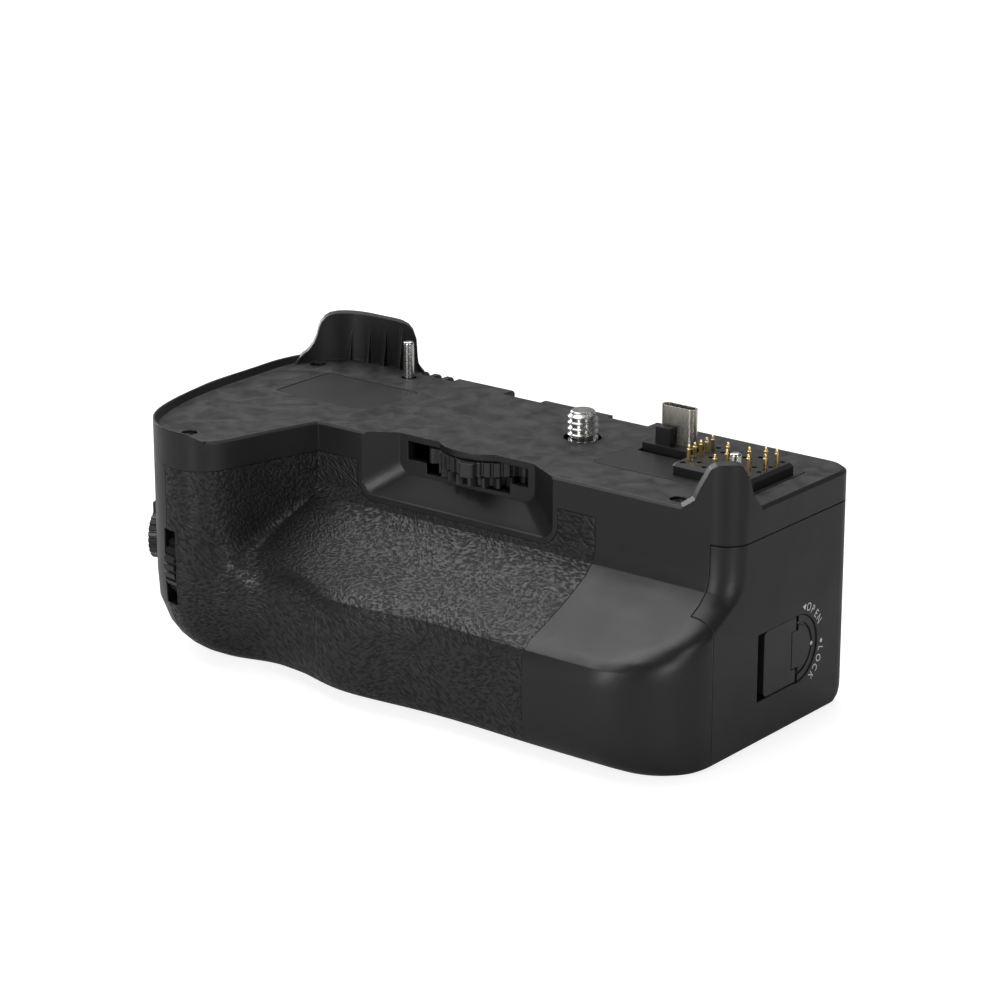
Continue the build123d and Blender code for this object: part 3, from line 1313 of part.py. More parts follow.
def shutter_button():
    """Dished shutter button with a flange that keeps it in."""
    plane = shutter_plane()
    foot = BUTTON_RISE - BUTTON_LENGTH
    button = rod(plane, foot, BUTTON_RISE, BUTTON_R)
    button += rod(plane, foot - SWITCH_GAP, foot - SWITCH_GAP + BUTTON_FLANGE / 2, BUTTON_FLANGE_R)
    dish = plane.location * Pos(0, 0, BUTTON_RISE + BUTTON_DISH_R - BUTTON_DISH_DEPTH) * Sphere(BUTTON_DISH_R)
    return button - dish


def rear_button(x, z, radius):
    """Round button on the back with a softened edge."""
    button = rod(back_plane(x, z), -REAR_BUTTON_SUNK, REAR_BUTTON_PROUD, radius)
    return fillet(button.faces().sort_by(Axis.Y)[-1].edges(), REAR_BUTTON_PROUD / 2)


def button_switches():
    """Small switches behind the buttons."""
    plane = shutter_plane()
    well = BUTTON_LENGTH - BUTTON_RISE + BUTTON_TRAVEL + SWITCH_GAP + SWITCH_HEIGHT
    half = SWITCH_SIZE / 2
    switches = [brick(plane, -half, half, -half, half, -well, SWITCH_HEIGHT - well - SWITCH_GAP)]
    for x, z, radius in rear_buttons():
        side = radius * REAR_SWITCH_SHARE
        depth = rear_well_depth()
        switches.append(brick(
            back_plane(x, z), -side / 2, side / 2, -side / 2, side / 2,
            -depth, REAR_SWITCH_HEIGHT - depth,
        ))
    return Compound(children=switches)


def ring_pivot_plane():
    """Pivot of the stick's ring, Z along its trunnions."""
    return Plane(
        origin=(STICK_X, BACK_Y - STICK_PIVOT_DEPTH, STICK_Z), x_dir=(0, 0, 1), z_dir=(1, 0, 0))


def stick_pivot_plane():
    """Pivot of the stick in its ring, Z upright."""
    return Plane(origin=(STICK_X, BACK_Y - STICK_PIVOT_DEPTH, STICK_Z), x_dir=(1, 0, 0), z_dir=(0, 0, 1))


def gimbal_ring():
    """Ring with two trunnions that lets the stick tilt both ways."""
    face = back_plane(STICK_X, STICK_Z)
    half = RING_THICKNESS / 2
    ring = rod(face, -STICK_PIVOT_DEPTH - half, -STICK_PIVOT_DEPTH + half, RING_OUTER_R)
    pivot = ring_pivot_plane()
    reach = STICK_WELL_R + TRUNNION_SEAT
    ring += rod(pivot, -reach, reach, TRUNNION_R)
    ring -= rod(face, -STICK_WELL_DEPTH, 0, RING_INNER_R)
    return ring - rod(stick_pivot_plane(), -STICK_WELL_R, STICK_WELL_R, TRUNNION_R + TRUNNION_GAP)


def thumb_stick():
    """Thumb stick: domed cap, stem, and hub with two trunnions."""
    face = back_plane(STICK_X, STICK_Z)
    cap = rod(face, STICK_PROUD - STICK_CAP, STICK_PROUD, STICK_CAP_R)
    cap = fillet(cap.faces().sort_by(Axis.Y)[-1].edges(), STICK_CAP / 2)
    stem = rod(face, -STICK_PIVOT_DEPTH, STICK_PROUD - STICK_CAP / 2, STICK_STEM_R)
    pivot = stick_pivot_plane()
    hub = pivot.location * Sphere(STICK_HUB_R)
    reach = RING_OUTER_R - TRUNNION_GAP
    return cap + stem + hub + rod(pivot, -reach, reach, TRUNNION_R)


def cap_recess():
    """Round well for the latch with a square finger well beside it."""
    plane = Plane(origin=(0, LATCH_Y, LATCH_Z), x_dir=(0, 1, 0), z_dir=(1, 0, 0))
    reach = LATCH_R + LATCH_GAP
    well = rod(plane, LATCH_FLOOR_X, RIGHT_X + OVERRUN, reach)
    return well + brick(plane, -LATCH_WELL_REACH, 0, -LATCH_R, LATCH_R, LATCH_FLOOR_X, RIGHT_X + OVERRUN)


def latch_axis():
    """Latch centre line, Z out of the end cap and X towards the back."""
    return Plane(origin=(0, LATCH_Y, LATCH_Z), x_dir=(0, 1, 0), z_dir=(1, 0, 0))


def end_cap():
    """Cap that closes the battery chamber, with the well for the latch."""
    cap = body_block() & cap_zone(SEAM)
    return cap - [cap_recess(), rod(latch_axis(), CAP_X, RIGHT_X, SPINDLE_R + FIT)]


def tray_box(z0, z1):
    """Outer block of the tray between two heights."""
    return block(
        CHAMBER_LEFT_X + 3 * TRAY_GAP, CAP_INNER_X, CHAMBER_FRONT_Y + TRAY_GAP,
        CHAMBER_BACK_Y - TRAY_GAP, z0, z1,
    )


def battery_left_x(index):
    """Left end of each battery, inner one first."""
    start = CHAMBER_LEFT_X + 3 * TRAY_GAP + TRAY_END_WALL + BATTERY_PLAY
    return start + index * (BATTERY_LENGTH + 2 * BATTERY_PLAY + TRAY_END_WALL)


def battery_tray():
    """Open tray with a wall between its two batteries."""
    floor = CHAMBER_FLOOR_Z + TRAY_GAP
    top = CHAMBER_TOP_Z - TRAY_GAP
    low = floor + TRAY_LOW_WALL
    tray = tray_box(floor, top)
    inner_front = CHAMBER_FRONT_Y + TRAY_GAP + TRAY_WALL
    inner_back = CHAMBER_BACK_Y - TRAY_GAP - TRAY_WALL
    for index in (0, 1):
        left = battery_left_x(index) - BATTERY_PLAY
        right = left + BATTERY_LENGTH + 2 * BATTERY_PLAY
        if index:
            right = CAP_INNER_X + OVERRUN
        tray -= block(left, right, inner_front, inner_back, floor + TRAY_WALL, top + OVERRUN)
        middle = left + BATTERY_LENGTH / 2
        side = Plane(origin=(middle, 0, top), x_dir=(1, 0, 0), z_dir=(0, 1, 0))
        tray -= rod(side, CHAMBER_FRONT_Y - OVERRUN, CHAMBER_BACK_Y + OVERRUN, TRAY_SCOOP_R)
    return tray - block(
        CHAMBER_LEFT_X, CAP_INNER_X, inner_front, inner_back, low, top + OVERRUN)


def battery(index):
    """Battery pack with rounded edges and its terminal recess."""
    left = battery_left_x(index)
    middle = (CHAMBER_FRONT_Y + CHAMBER_BACK_Y) / 2
    floor = CHAMBER_FLOOR_Z + TRAY_GAP + TRAY_WALL
    pack = block(
        left, left + BATTERY_LENGTH, middle - BATTERY_DEPTH / 2, middle + BATTERY_DEPTH / 2,
        floor, floor + BATTERY_HEIGHT,
    )
    pack = fillet(pack.edges().filter_by(Axis.Y), BATTERY_EDGE_R)
    right = left + BATTERY_LENGTH - BATTERY_EDGE_R
    return pack - block(
        right - BATTERY_TERMINAL_LENGTH, right, CONTACT_BLOCK_Y - BATTERY_TERMINAL_WIDTH / 2,
        CONTACT_BLOCK_Y + BATTERY_TERMINAL_WIDTH / 2,
        floor + BATTERY_HEIGHT - BATTERY_TERMINAL_DEPTH, floor + BATTERY_HEIGHT + OVERRUN,
    )


def battery_contacts():
    """Contact blocks under the frame, one above each battery's end."""
    blocks = []
    low = CHAMBER_TOP_Z - CONTACT_BLOCK_HEIGHT
    for index in (0, 1):
        right = battery_left_x(index) + BATTERY_LENGTH - BATTERY_EDGE_R
        left = right - CONTACT_BLOCK_LENGTH
        body = block(
            left, right, CONTACT_BLOCK_Y - CONTACT_BLOCK_DEPTH / 2,
            CONTACT_BLOCK_Y + CONTACT_BLOCK_DEPTH / 2, low, CHAMBER_TOP_Z,
        )
        for spring in range(SPRING_COUNT):
            y = CONTACT_BLOCK_Y + (spring - (SPRING_COUNT - 1) / 2) * SPRING_PITCH
            middle = right - CONTACT_BLOCK_LENGTH / 2
            body += block(
                middle - SPRING_WIDTH, middle + SPRING_WIDTH, y - SPRING_WIDTH / 2, y + SPRING_WIDTH / 2,
                low - SPRING_RISE, low,
            )
        blocks.append(body)
    return Compound(children=blocks)


def latch_knob():
    """Round knob whose one side is raised and carries the handle's hinge."""
    axis = latch_axis()
    disc = rod(axis, KNOB_BACK_X, KNOB_FACE_X, LATCH_R)
    raised = rod(axis, KNOB_FACE_X, KNOB_TOP_X, LATCH_R) & brick(
        axis, KNOB_RAISED_INSET, LATCH_R + OVERRUN, -LATCH_R - OVERRUN, LATCH_R + OVERRUN,
        KNOB_FACE_X - OVERRUN, RIGHT_X,
    )
    hinge = brick(
        axis, -HINGE_PIN_OFFSET - HINGE_BLOCK_LEFT, KNOB_RAISED_INSET,
        -HINGE_BLOCK_WIDTH / 2, HINGE_BLOCK_WIDTH / 2, KNOB_FACE_X, KNOB_TOP_X,
    )
    groove = rod(axis, KNOB_TOP_X - KNOB_GROOVE_DEPTH, RIGHT_X, KNOB_GROOVE_R) - rod(
        axis, KNOB_FACE_X, RIGHT_X, KNOB_GROOVE_R - KNOB_GROOVE_WIDTH)
    knob = disc + (raised - groove) + hinge
    knob -= rod(axis, KNOB_BACK_X - OVERRUN, KNOB_FACE_X, SPINDLE_R)
    return knob - hinge_rod(HINGE_PIN_R)


def hinge_rod(radius):
    """Cylinder along the handle's hinge."""
    half = HINGE_PIN_LENGTH / 2
    return drum(HINGE_X, HINGE_Y, LATCH_Z - half, LATCH_Z + half, radius)


def latch_hinge_pin():
    """Pin on which the fold-out handle turns."""
    return hinge_rod(HINGE_PIN_R)


def latch_handle():
    """Fold-out half-moon handle with two hinge arms."""
    half = HANDLE_THICKNESS / 2
    side = LATCH_R - LATCH_GAP
    plate = brick(
        latch_axis(), -HANDLE_REACH, -HINGE_PIN_OFFSET, -side, side, HINGE_X - half, HINGE_X + half)
    plate = fillet(plate.edges().filter_by(Axis.X).group_by(Axis.Y)[0], HANDLE_CORNER_R)
    plate += drum(HINGE_X, HINGE_Y, LATCH_Z - side, LATCH_Z + side, half)
    notch = HINGE_BLOCK_WIDTH / 2 + HINGE_SIDE_GAP
    plate -= brick(
        latch_axis(), -HINGE_PIN_OFFSET - HINGE_NOTCH, OVERRUN, -notch, notch,
        HINGE_X - OVERRUN, HINGE_X + OVERRUN,
    )
    plate -= drum(
        HINGE_X, HINGE_Y, LATCH_Z - HINGE_PIN_LENGTH / 2 - SEAM, LATCH_Z + HINGE_PIN_LENGTH / 2 + SEAM,
        HINGE_PIN_R + FIT,
    )
    return plate


def latch_spindle():
    """Shaft from the knob through the cap to the bolt."""
    return rod(latch_axis(), CAP_X - BOLT_THICKNESS - BOLT_GAP / 2, KNOB_FACE_X, SPINDLE_R)


def latch_bolt():
    """Bolt behind the cap that hooks into the roof of the chamber."""
    axis = latch_axis()
    back, front = CAP_X - BOLT_THICKNESS - BOLT_GAP / 2, CAP_X - BOLT_GAP / 2
    tip = CHAMBER_TOP_Z + BOLT_TIP_RISE - LATCH_Z
    bolt = rod(axis, back, front, BOLT_HEAD_R)
    bolt += brick(axis, -BOLT_WIDTH / 2, BOLT_WIDTH / 2, 0, tip, back, front)
    return bolt - rod(axis, back - OVERRUN, front + OVERRUN, SPINDLE_R)


PARTS = {
    "main_housing": main_housing,
    "control_panel": control_panel,
    "front_grip_cover": front_grip_cover,
    "thumb_pad": thumb_pad,
    "deck_patch": deck_patch,
    "connector_plate": connector_plate,
    "contact_block": contact_block,
    "contact_pins": contact_pins,
    "plug_shell": plug_shell,
    "plug_insert": plug_insert,
    "plug_base": plug_base,
    "locating_pins": locating_pins,
    "deck_screws": deck_screws,
    "foot_plate": foot_plate,
    "tripod_socket": tripod_socket,
    "foot_screws": foot_screws,
    "inner_frame": inner_frame,
    "circuit_board": circuit_board,
    "lock_wheel": lock_wheel,
    "wheel_axle": wheel_axle,
    "camera_screw": camera_screw,
    "screw_bush": screw_bush,
    "front_dial": lambda: command_dial(front_dial_plane()),
    "front_dial_axle": lambda: dial_axle_rod(front_dial_plane()),
    "rear_dial": lambda: command_dial(rear_dial_plane()),
    "rear_dial_axle": lambda: dial_axle_rod(rear_dial_plane()),
    "lock_lever": lock_lever,
    "shutter_button": shutter_button,
    "af_button": lambda: rear_button(AF_BUTTON_X, AF_BUTTON_Z, AF_BUTTON_R),
    "function_button": lambda: rear_button(FUNCTION_BUTTON_X, FUNCTION_BUTTON_Z, FUNCTION_BUTTON_R),
    "button_switches": button_switches,
    "gimbal_ring": gimbal_ring,
    "thumb_stick": thumb_stick,
    "end_cap": end_cap,
    "battery_tray": battery_tray,
    "inner_battery": lambda: battery(0),
    "outer_battery": lambda: battery(1),
    "battery_contacts": battery_contacts,
    "latch_knob": latch_knob,
    "latch_hinge_pin": latch_hinge_pin,
    "latch_handle": latch_handle,
    "latch_spindle": latch_spindle,
    "latch_bolt": latch_bolt,
}

os.makedirs("parts", exist_ok=True)
for name, make in PARTS.items():
    export_step(make(), f"parts/{name}.step")
    print("wrote", name)
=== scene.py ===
# %% [markdown]
# # A camera battery grip
#
# The grip screws to the underside of a camera. It is a closed moulded
# housing in satin black plastic, with grained rubber where the fingers go, a
# steel screw, a plug and gold contacts on its deck, and a latched battery
# tray in its right end.
#
# The solid parts come from the CAD model, already in place. This script gives
# each of them its finish, and makes the small things that the CAD leaves
# plain: screw threads, contact tips and the printed marks.

# %% Load the CAD frame
import math

import bmesh
import bpy
from mathutils import Matrix, Vector


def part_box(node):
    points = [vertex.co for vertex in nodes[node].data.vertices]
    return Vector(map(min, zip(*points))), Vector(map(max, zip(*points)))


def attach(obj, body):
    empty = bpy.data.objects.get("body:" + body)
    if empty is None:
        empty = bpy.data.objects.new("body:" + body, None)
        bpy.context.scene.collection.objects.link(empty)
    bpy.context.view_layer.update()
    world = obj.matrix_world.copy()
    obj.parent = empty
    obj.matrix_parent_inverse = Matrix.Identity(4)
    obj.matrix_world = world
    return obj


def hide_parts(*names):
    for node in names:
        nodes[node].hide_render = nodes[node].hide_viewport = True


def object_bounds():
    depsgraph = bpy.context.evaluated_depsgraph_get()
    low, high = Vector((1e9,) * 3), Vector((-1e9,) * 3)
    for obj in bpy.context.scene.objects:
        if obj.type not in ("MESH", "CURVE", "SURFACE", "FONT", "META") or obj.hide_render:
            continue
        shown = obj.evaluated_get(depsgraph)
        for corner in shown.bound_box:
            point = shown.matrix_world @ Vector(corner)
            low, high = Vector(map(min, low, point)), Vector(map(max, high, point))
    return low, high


MM = 0.001

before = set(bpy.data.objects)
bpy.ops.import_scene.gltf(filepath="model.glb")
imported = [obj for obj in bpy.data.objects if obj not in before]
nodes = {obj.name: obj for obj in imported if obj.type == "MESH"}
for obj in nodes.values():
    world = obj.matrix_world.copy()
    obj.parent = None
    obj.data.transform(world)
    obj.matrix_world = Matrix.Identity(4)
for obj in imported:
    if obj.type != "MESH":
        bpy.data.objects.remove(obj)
cad_low, cad_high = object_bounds()
cad_size = [round(side / MM, 1) for side in cad_high - cad_low]
print("CAD nodes:", len(nodes), "size in mm:", cad_size)

# %% [markdown]
# ## Camera
#
# A product shot like this one is taken from above the front right corner with
# a long lens, so that the edges stay nearly parallel. The place and the focal
# length were worked out from the corners of the object in the photograph.

# %% Camera
CAMERA_PLACE = Vector((403.0, -504.3, 248.5)) * MM
CAMERA_TILT = 71.85
CAMERA_TURN = 38.23
FOCAL_LENGTH = 119.27
SENSOR_WIDTH = 36.0

camera_data = bpy.data.cameras.new("product_camera")
camera_data.lens = FOCAL_LENGTH
camera_data.sensor_width = SENSOR_WIDTH
camera = bpy.data.objects.new("product_camera", camera_data)
camera.location = CAMERA_PLACE
camera.rotation_euler = (math.radians(CAMERA_TILT), 0, math.radians(CAMERA_TURN))
bpy.context.scene.collection.objects.link(camera)
bpy.context.scene.camera = camera
print("camera looks from", [round(part / MM) for part in CAMERA_PLACE], "mm")

# %% [markdown]
# ## Light
#
# Black plastic shows its form only through what it mirrors. A large soft box
# overhead, a little to the left, lights the deck and the slopes of the front.
# One beyond the left end draws the bright edge of the hand grip. Two upright
# strips, one straight in front and one beyond the right end, give the walls
# and the corner post their quiet vertical highlights. Area lamps are the
# plain way to make soft boxes, and their size sets how soft the edge of each
# highlight is. Places and sizes are in metres, the last number is in watts.

# %% Soft boxes
MIDDLE = Vector((0.0, 0.0, 0.025))


def soft_box(name, place, aim, width, height, watts):
    """Rectangular lamp at a place, turned to face another."""
    lamp_data = bpy.data.lights.new(name, "AREA")
    lamp_data.shape = "RECTANGLE"
    lamp_data.size = width
    lamp_data.size_y = height
    lamp_data.energy = watts
    lamp = bpy.data.objects.new(name, lamp_data)
    lamp.location = place
    lamp.rotation_euler = (Vector(aim) - Vector(place)).to_track_quat("-Z", "Y").to_euler()
    bpy.context.scene.collection.objects.link(lamp)


soft_box("overhead_box", (-0.22, 0.12, 0.80), MIDDLE, 1.0, 0.6, 7.5)
soft_box("left_box", (-0.80, 0.22, 0.22), MIDDLE, 0.30, 0.6, 3.2)
soft_box("front_strip", (-0.03, -0.72, 0.22), MIDDLE, 0.10, 0.42, 2.2)
soft_box("right_strip", (0.72, -0.28, 0.22), MIDDLE, 0.08, 0.42, 1.8)

# %% [markdown]
# ## Colours and nodes
#
# Paint charts and screens give colours as sRGB hex codes, while the renderer
# works in linear light, and one function turns the first into the second. The
# others each add a shader node with its settings and links in one line, so
# that every material below reads like a recipe. Wherever they take a value,
# they also take the socket of another node, and then link it.

# %% Helpers for materials
# The Mix node has two inputs and one output for each kind of value.
FLOAT_SOCKETS = (2, 3, 0)
COLOUR_SOCKETS = (6, 7, 2)
EDGE_SAMPLES = 4


def paint(hex_code):
    """Linear colour of an sRGB hex code, by the numbers of the sRGB standard."""
    linear = []
    for start in (0, 2, 4):
        share = int(hex_code[start:start + 2], 16) / 255
        linear.append(share / 12.92 if share <= 0.04045 else ((share + 0.055) / 1.055) ** 2.4)
    return (*linear, 1.0)


def feed(tree, socket, value):
    """Link a socket to another one, or set its value."""
    if isinstance(value, bpy.types.NodeSocket):
        tree.links.new(value, socket)
    else:
        socket.default_value = value


def set_up(tree, node, **settings):
    """Fill in a node's sockets and properties by their names."""
    for name, value in settings.items():
        label = name.replace("_", " ")
        if label in node.inputs:
            feed(tree, node.inputs[label], value)
        else:
            setattr(node, name, value)
    return node


def add_node(tree, kind, **settings):
    """New shader node with its settings."""
    return set_up(tree, tree.nodes.new("ShaderNode" + kind), **settings)


def calculate(tree, operation, first, second):
    """Result of a sum on two values."""
    node = add_node(tree, "Math", operation=operation)
    feed(tree, node.inputs[0], first)
    feed(tree, node.inputs[1], second)
    return node.outputs[0]


def remap(tree, value, source, target=(0.0, 1.0), **settings):
    """Value carried over from one span of numbers to another."""
    return add_node(
        tree, "MapRange", Value=value, From_Min=source[0], From_Max=source[1],
        To_Min=target[0], To_Max=target[1], **settings).outputs[0]


def mix(tree, share, first, second, sockets=FLOAT_SOCKETS, **settings):
    """First value where the share is 0, second where it is 1."""
    node = add_node(tree, "Mix", **settings, Factor=share)
    feed(tree, node.inputs[sockets[0]], first)
    feed(tree, node.inputs[sockets[1]], second)
    return node.outputs[sockets[2]]


def mix_colours(tree, share, first, second):
    """First colour where the share is 0, second where it is 1."""
    return mix(tree, share, first, second, COLOUR_SOCKETS, data_type="RGBA")


def noise(tree, place, size_mm, detail, **settings):
    """Soft random pattern whose cells measure this many millimetres."""
    return add_node(
        tree, "TexNoise", **settings, Vector=place, Scale=per_metre(size_mm),
        Detail=detail).outputs["Fac"]


def bump(tree, height, strength, depth_mm, normal):
    """Normal of a surface that has a texture's heights on top of another normal."""
    return add_node(
        tree, "Bump", Strength=strength, Distance=depth_mm * MM, Height=height,
        Normal=normal).outputs[0]


def rounded_edges(tree, radius_mm, samples=EDGE_SAMPLES):
    """Normal that rounds sharp edges for the light only."""
    return add_node(tree, "Bevel", samples=samples, Radius=radius_mm * MM).outputs[0]


def new_material(name):
    """Empty material with its tree, its shader and the object's coordinates."""
    material = bpy.data.materials.new(name)
    material.use_nodes = True
    tree = material.node_tree
    tree.nodes.clear()
    shader = add_node(tree, "BsdfPrincipled")
    add_node(tree, "OutputMaterial", Surface=shader.outputs[0])
    place = add_node(tree, "TexCoord").outputs["Object"]
    return material, tree, shader, place


def per_metre(size_mm):
    """Texture scale at which one cell of a pattern measures this many millimetres."""
    return 1 / (size_mm * MM)


print("black ABS is", [round(part, 3) for part in paint("202021")[:3]], "in linear light")

# %% [markdown]
# ## Backdrop
#
# The photograph has a white ground with hardly a shadow. The floor is a light
# grey matte sheet. What the camera sees of it is lifted to white by the light
# path, not by more light on the object, and the object's shadow still falls
# on it. Surfaces that mirror see part of that white too. The near-vertical
# walls mirror the floor in front of them, so the floor's mirrored lift sets
# how dark they look. The deck mirrors the world behind the object, whose
# white begins between two cosines of the angle to the line of sight. All
# other mirrored ways lead to a dim studio.

# %% Floor and world
WHITE = paint("FFFFFF")
FLOOR_SIZE = 3.0
FLOOR_COLOUR = "A8A8A8"
FLOOR_ROUGHNESS = 0.9
FLOOR_LIFT = 0.82
MIRRORED_LIFT = 0.2
STUDIO_GREY = 0.11
BACKDROP_EDGE = (0.1, 0.5)
BACKDROP_SHARE = 0.18

floor_mesh = bmesh.new()
bmesh.ops.create_grid(floor_mesh, x_segments=1, y_segments=1, size=FLOOR_SIZE)
floor_data = bpy.data.meshes.new("floor")
floor_mesh.to_mesh(floor_data)
floor_mesh.free()
floor = bpy.data.objects.new("floor", floor_data)
bpy.context.scene.collection.objects.link(floor)


def seen_directly(tree, mirrored_share):
    """1 for the camera and through glass, a share of it in mirrors, 0 for light on the object."""
    rays = add_node(tree, "LightPath").outputs
    straight = calculate(tree, "MAXIMUM", rays["Is Camera Ray"], rays["Is Transmission Ray"])
    mirrored = calculate(tree, "MULTIPLY", rays["Is Glossy Ray"], mirrored_share)
    return calculate(tree, "MAXIMUM", straight, mirrored)


paper, tree, shader, _ = new_material("pale_paper_floor")
set_up(
    tree, shader, Base_Color=paint(FLOOR_COLOUR), Roughness=FLOOR_ROUGHNESS, Emission_Color=WHITE,
    Emission_Strength=calculate(tree, "MULTIPLY", seen_directly(tree, MIRRORED_LIFT), FLOOR_LIFT))
floor_data.materials.append(paper)

world = bpy.data.worlds.new("studio")
bpy.context.scene.world = world
world.use_nodes = True
tree = world.node_tree
tree.nodes.clear()
view_way = camera.rotation_euler.to_matrix() @ Vector((0, 0, -1))
along_view = add_node(tree, "VectorMath", operation="DOT_PRODUCT")
feed(tree, along_view.inputs[0], add_node(tree, "TexCoord").outputs["Generated"])
feed(tree, along_view.inputs[1], view_way)
behind = remap(tree, along_view.outputs["Value"], BACKDROP_EDGE, (0.0, BACKDROP_SHARE))
blend = add_node(tree, "MixShader", Fac=seen_directly(tree, behind))
for socket, strength in ((blend.inputs[1], STUDIO_GREY), (blend.inputs[2], 1.0)):
    feed(tree, socket, add_node(tree, "Background", Color=WHITE, Strength=strength).outputs[0])
add_node(tree, "OutputWorld", Surface=blend.outputs[0])
print("floor and world are white to the camera,", STUDIO_GREY, "grey to the object")

# %% [markdown]
# ## Black plastics
#
# The housing is injection-moulded ABS. The mould is spark-eroded, which gives
# every outer face a fine even tooth, about a tenth of a millimetre across,
# and a satin look. A slow noise shifts the roughness a little where hands rub
# the surface. The moulder rounds each edge by a few tenths of a millimetre,
# and these roundings catch the light. The CAD keeps its edges sharp, so the
# Bevel node rounds them for the light only.

# %% Moulded plastic
ABS_IOR = 1.54
SPARK_TOOTH = 0.12
SPARK_DEPTH = 0.006
TOOTH_STRENGTH = 0.5
EDGE_ROUNDING = 0.35
MOULDED_EDGE_SAMPLES = 6
TEXTURED_SHEEN = 0.36
RUB_PATCH = 9.0
RUB_POLISH = 0.03
RUB_DULLING = 0.04
NOISE_SPAN = (0.3, 0.7)
HOUSING_COLOUR = "161617"
HOUSING_ROUGHNESS = 0.40


def moulded_plastic(
        name, hex_code, roughness, tooth=SPARK_TOOTH, depth=SPARK_DEPTH, rounding=EDGE_ROUNDING):
    """Satin plastic with a spark-eroded tooth and rounded edges."""
    material, tree, shader, place = new_material(name)
    rub = noise(tree, place, RUB_PATCH, 3.0)
    worn = remap(tree, rub, NOISE_SPAN, (roughness - RUB_POLISH, roughness + RUB_DULLING))
    grit = noise(tree, place, tooth, 2.0)
    edges = rounded_edges(tree, rounding, MOULDED_EDGE_SAMPLES)
    set_up(
        tree, shader, Base_Color=paint(hex_code), IOR=ABS_IOR, Specular_IOR_Level=TEXTURED_SHEEN,
        Roughness=worn, Normal=bump(tree, grit, TOOTH_STRENGTH, depth, edges))
    return material


panel_abs = moulded_plastic("spark_eroded_black_abs", HOUSING_COLOUR, HOUSING_ROUGHNESS)
cap_abs = moulded_plastic("end_cap_black_abs", "171718", 0.44)
patch_abs = moulded_plastic("smooth_satin_abs", HOUSING_COLOUR, 0.5, tooth=0.3, depth=0.002)
plate_abs = moulded_plastic("satin_plate_abs", "1D1D1E", 0.40, depth=0.003, rounding=0.2)
block_abs = moulded_plastic("glass_filled_nylon", "161617", 0.42, tooth=0.2, rounding=0.15)
latch_abs = moulded_plastic("latch_black_abs", "202021", 0.40, depth=0.003, rounding=0.2)
insert_nylon = moulded_plastic("insert_black_nylon", "101011", 0.45, rounding=0.05)
tray_abs = moulded_plastic("tray_black_abs", "242425", 0.5, rounding=0.3)
pack_abs = moulded_plastic("battery_dark_grey_abs", "3A3A3C", 0.45, rounding=0.4)
print("plastics:", [m.name for m in bpy.data.materials if "abs" in m.name])

# %% [markdown]
# ## The deck
#
# The deck is the same moulding as the walls, so it is one material that looks
# at where it is: a face that points up at the height of the deck gets a soft
# cloudy finish, in patches of a few millimetres with small flecks between
# them, and everything else stays plain satin. Its colour is painted lighter
# than the walls', as if lit from above, and the clouds are its own mottle.
# The height comes from the frame.

# %% Housing plastic with its cloudy deck
deck_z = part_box("deck_patch")[1].z
DECK_BAND = 0.5
FACING_UP = (0.9, 0.98)
CLOUD_SIZE = 4.5
CLOUD_DETAIL = {"Roughness": 0.62, "Distortion": 0.6}
CLOUD_SPAN = (0.35, 0.65)
CLOUD_TONE_SPAN = (0.35, 0.68)
# Painted top light: both deck colours are lighter than the housing's, as if lit from above; the
# span between them is the deck's own mottle.
DECK_TOPLIT_DARK = "1F1F20"
DECK_TOPLIT_LIGHT = "2B2B2C"
DECK_ROUGHNESS = (0.46, 0.62)
DECK_SHEEN = (0.2, 0.44)
FLECK_SIZE = 1.6
FLECK_STRENGTH = 0.25
FLECK_DEPTH = 0.02


def housing_plastic():
    """Moulded plastic whose deck is mottled and painted lighter, as if lit from above."""
    material = moulded_plastic("housing_black_abs", HOUSING_COLOUR, HOUSING_ROUGHNESS)
    tree = material.node_tree
    shader = next(n for n in tree.nodes if n.type == "BSDF_PRINCIPLED")
    place = next(n for n in tree.nodes if n.type == "TEX_COORD").outputs["Object"]
    plain_roughness = shader.inputs["Roughness"].links[0].from_socket
    plain_normal = shader.inputs["Normal"].links[0].from_socket

    height = add_node(tree, "SeparateXYZ", Vector=place).outputs["Z"]
    normal = add_node(tree, "NewGeometry").outputs["Normal"]
    facing = add_node(tree, "SeparateXYZ", Vector=normal).outputs["Z"]
    band = (deck_z - DECK_BAND * MM, deck_z - DECK_BAND * MM / 2)
    on_deck = calculate(
        tree, "MULTIPLY", remap(tree, height, band), remap(tree, facing, FACING_UP))

    cloud = noise(tree, place, CLOUD_SIZE, 5.0, **CLOUD_DETAIL)
    # Painted top light on the deck, with its own mottle from the cloud.
    tone = mix_colours(
        tree, remap(tree, cloud, CLOUD_TONE_SPAN), paint(DECK_TOPLIT_DARK), paint(DECK_TOPLIT_LIGHT))
    sheen = remap(tree, cloud, CLOUD_SPAN, DECK_SHEEN)
    cloudy_roughness = remap(tree, cloud, CLOUD_SPAN, DECK_ROUGHNESS)
    fleck = noise(tree, place, FLECK_SIZE, 2.0)
    set_up(
        tree, shader,
        Base_Color=mix_colours(tree, on_deck, paint(HOUSING_COLOUR), tone),
        Specular_IOR_Level=mix(tree, on_deck, TEXTURED_SHEEN, sheen),
        Roughness=mix(tree, on_deck, plain_roughness, cloudy_roughness),
        Normal=bump(tree, fleck, FLECK_STRENGTH, FLECK_DEPTH, plain_normal))
    return material


housing_abs = housing_plastic()
print("deck at", round(deck_z / MM, 2), "mm")
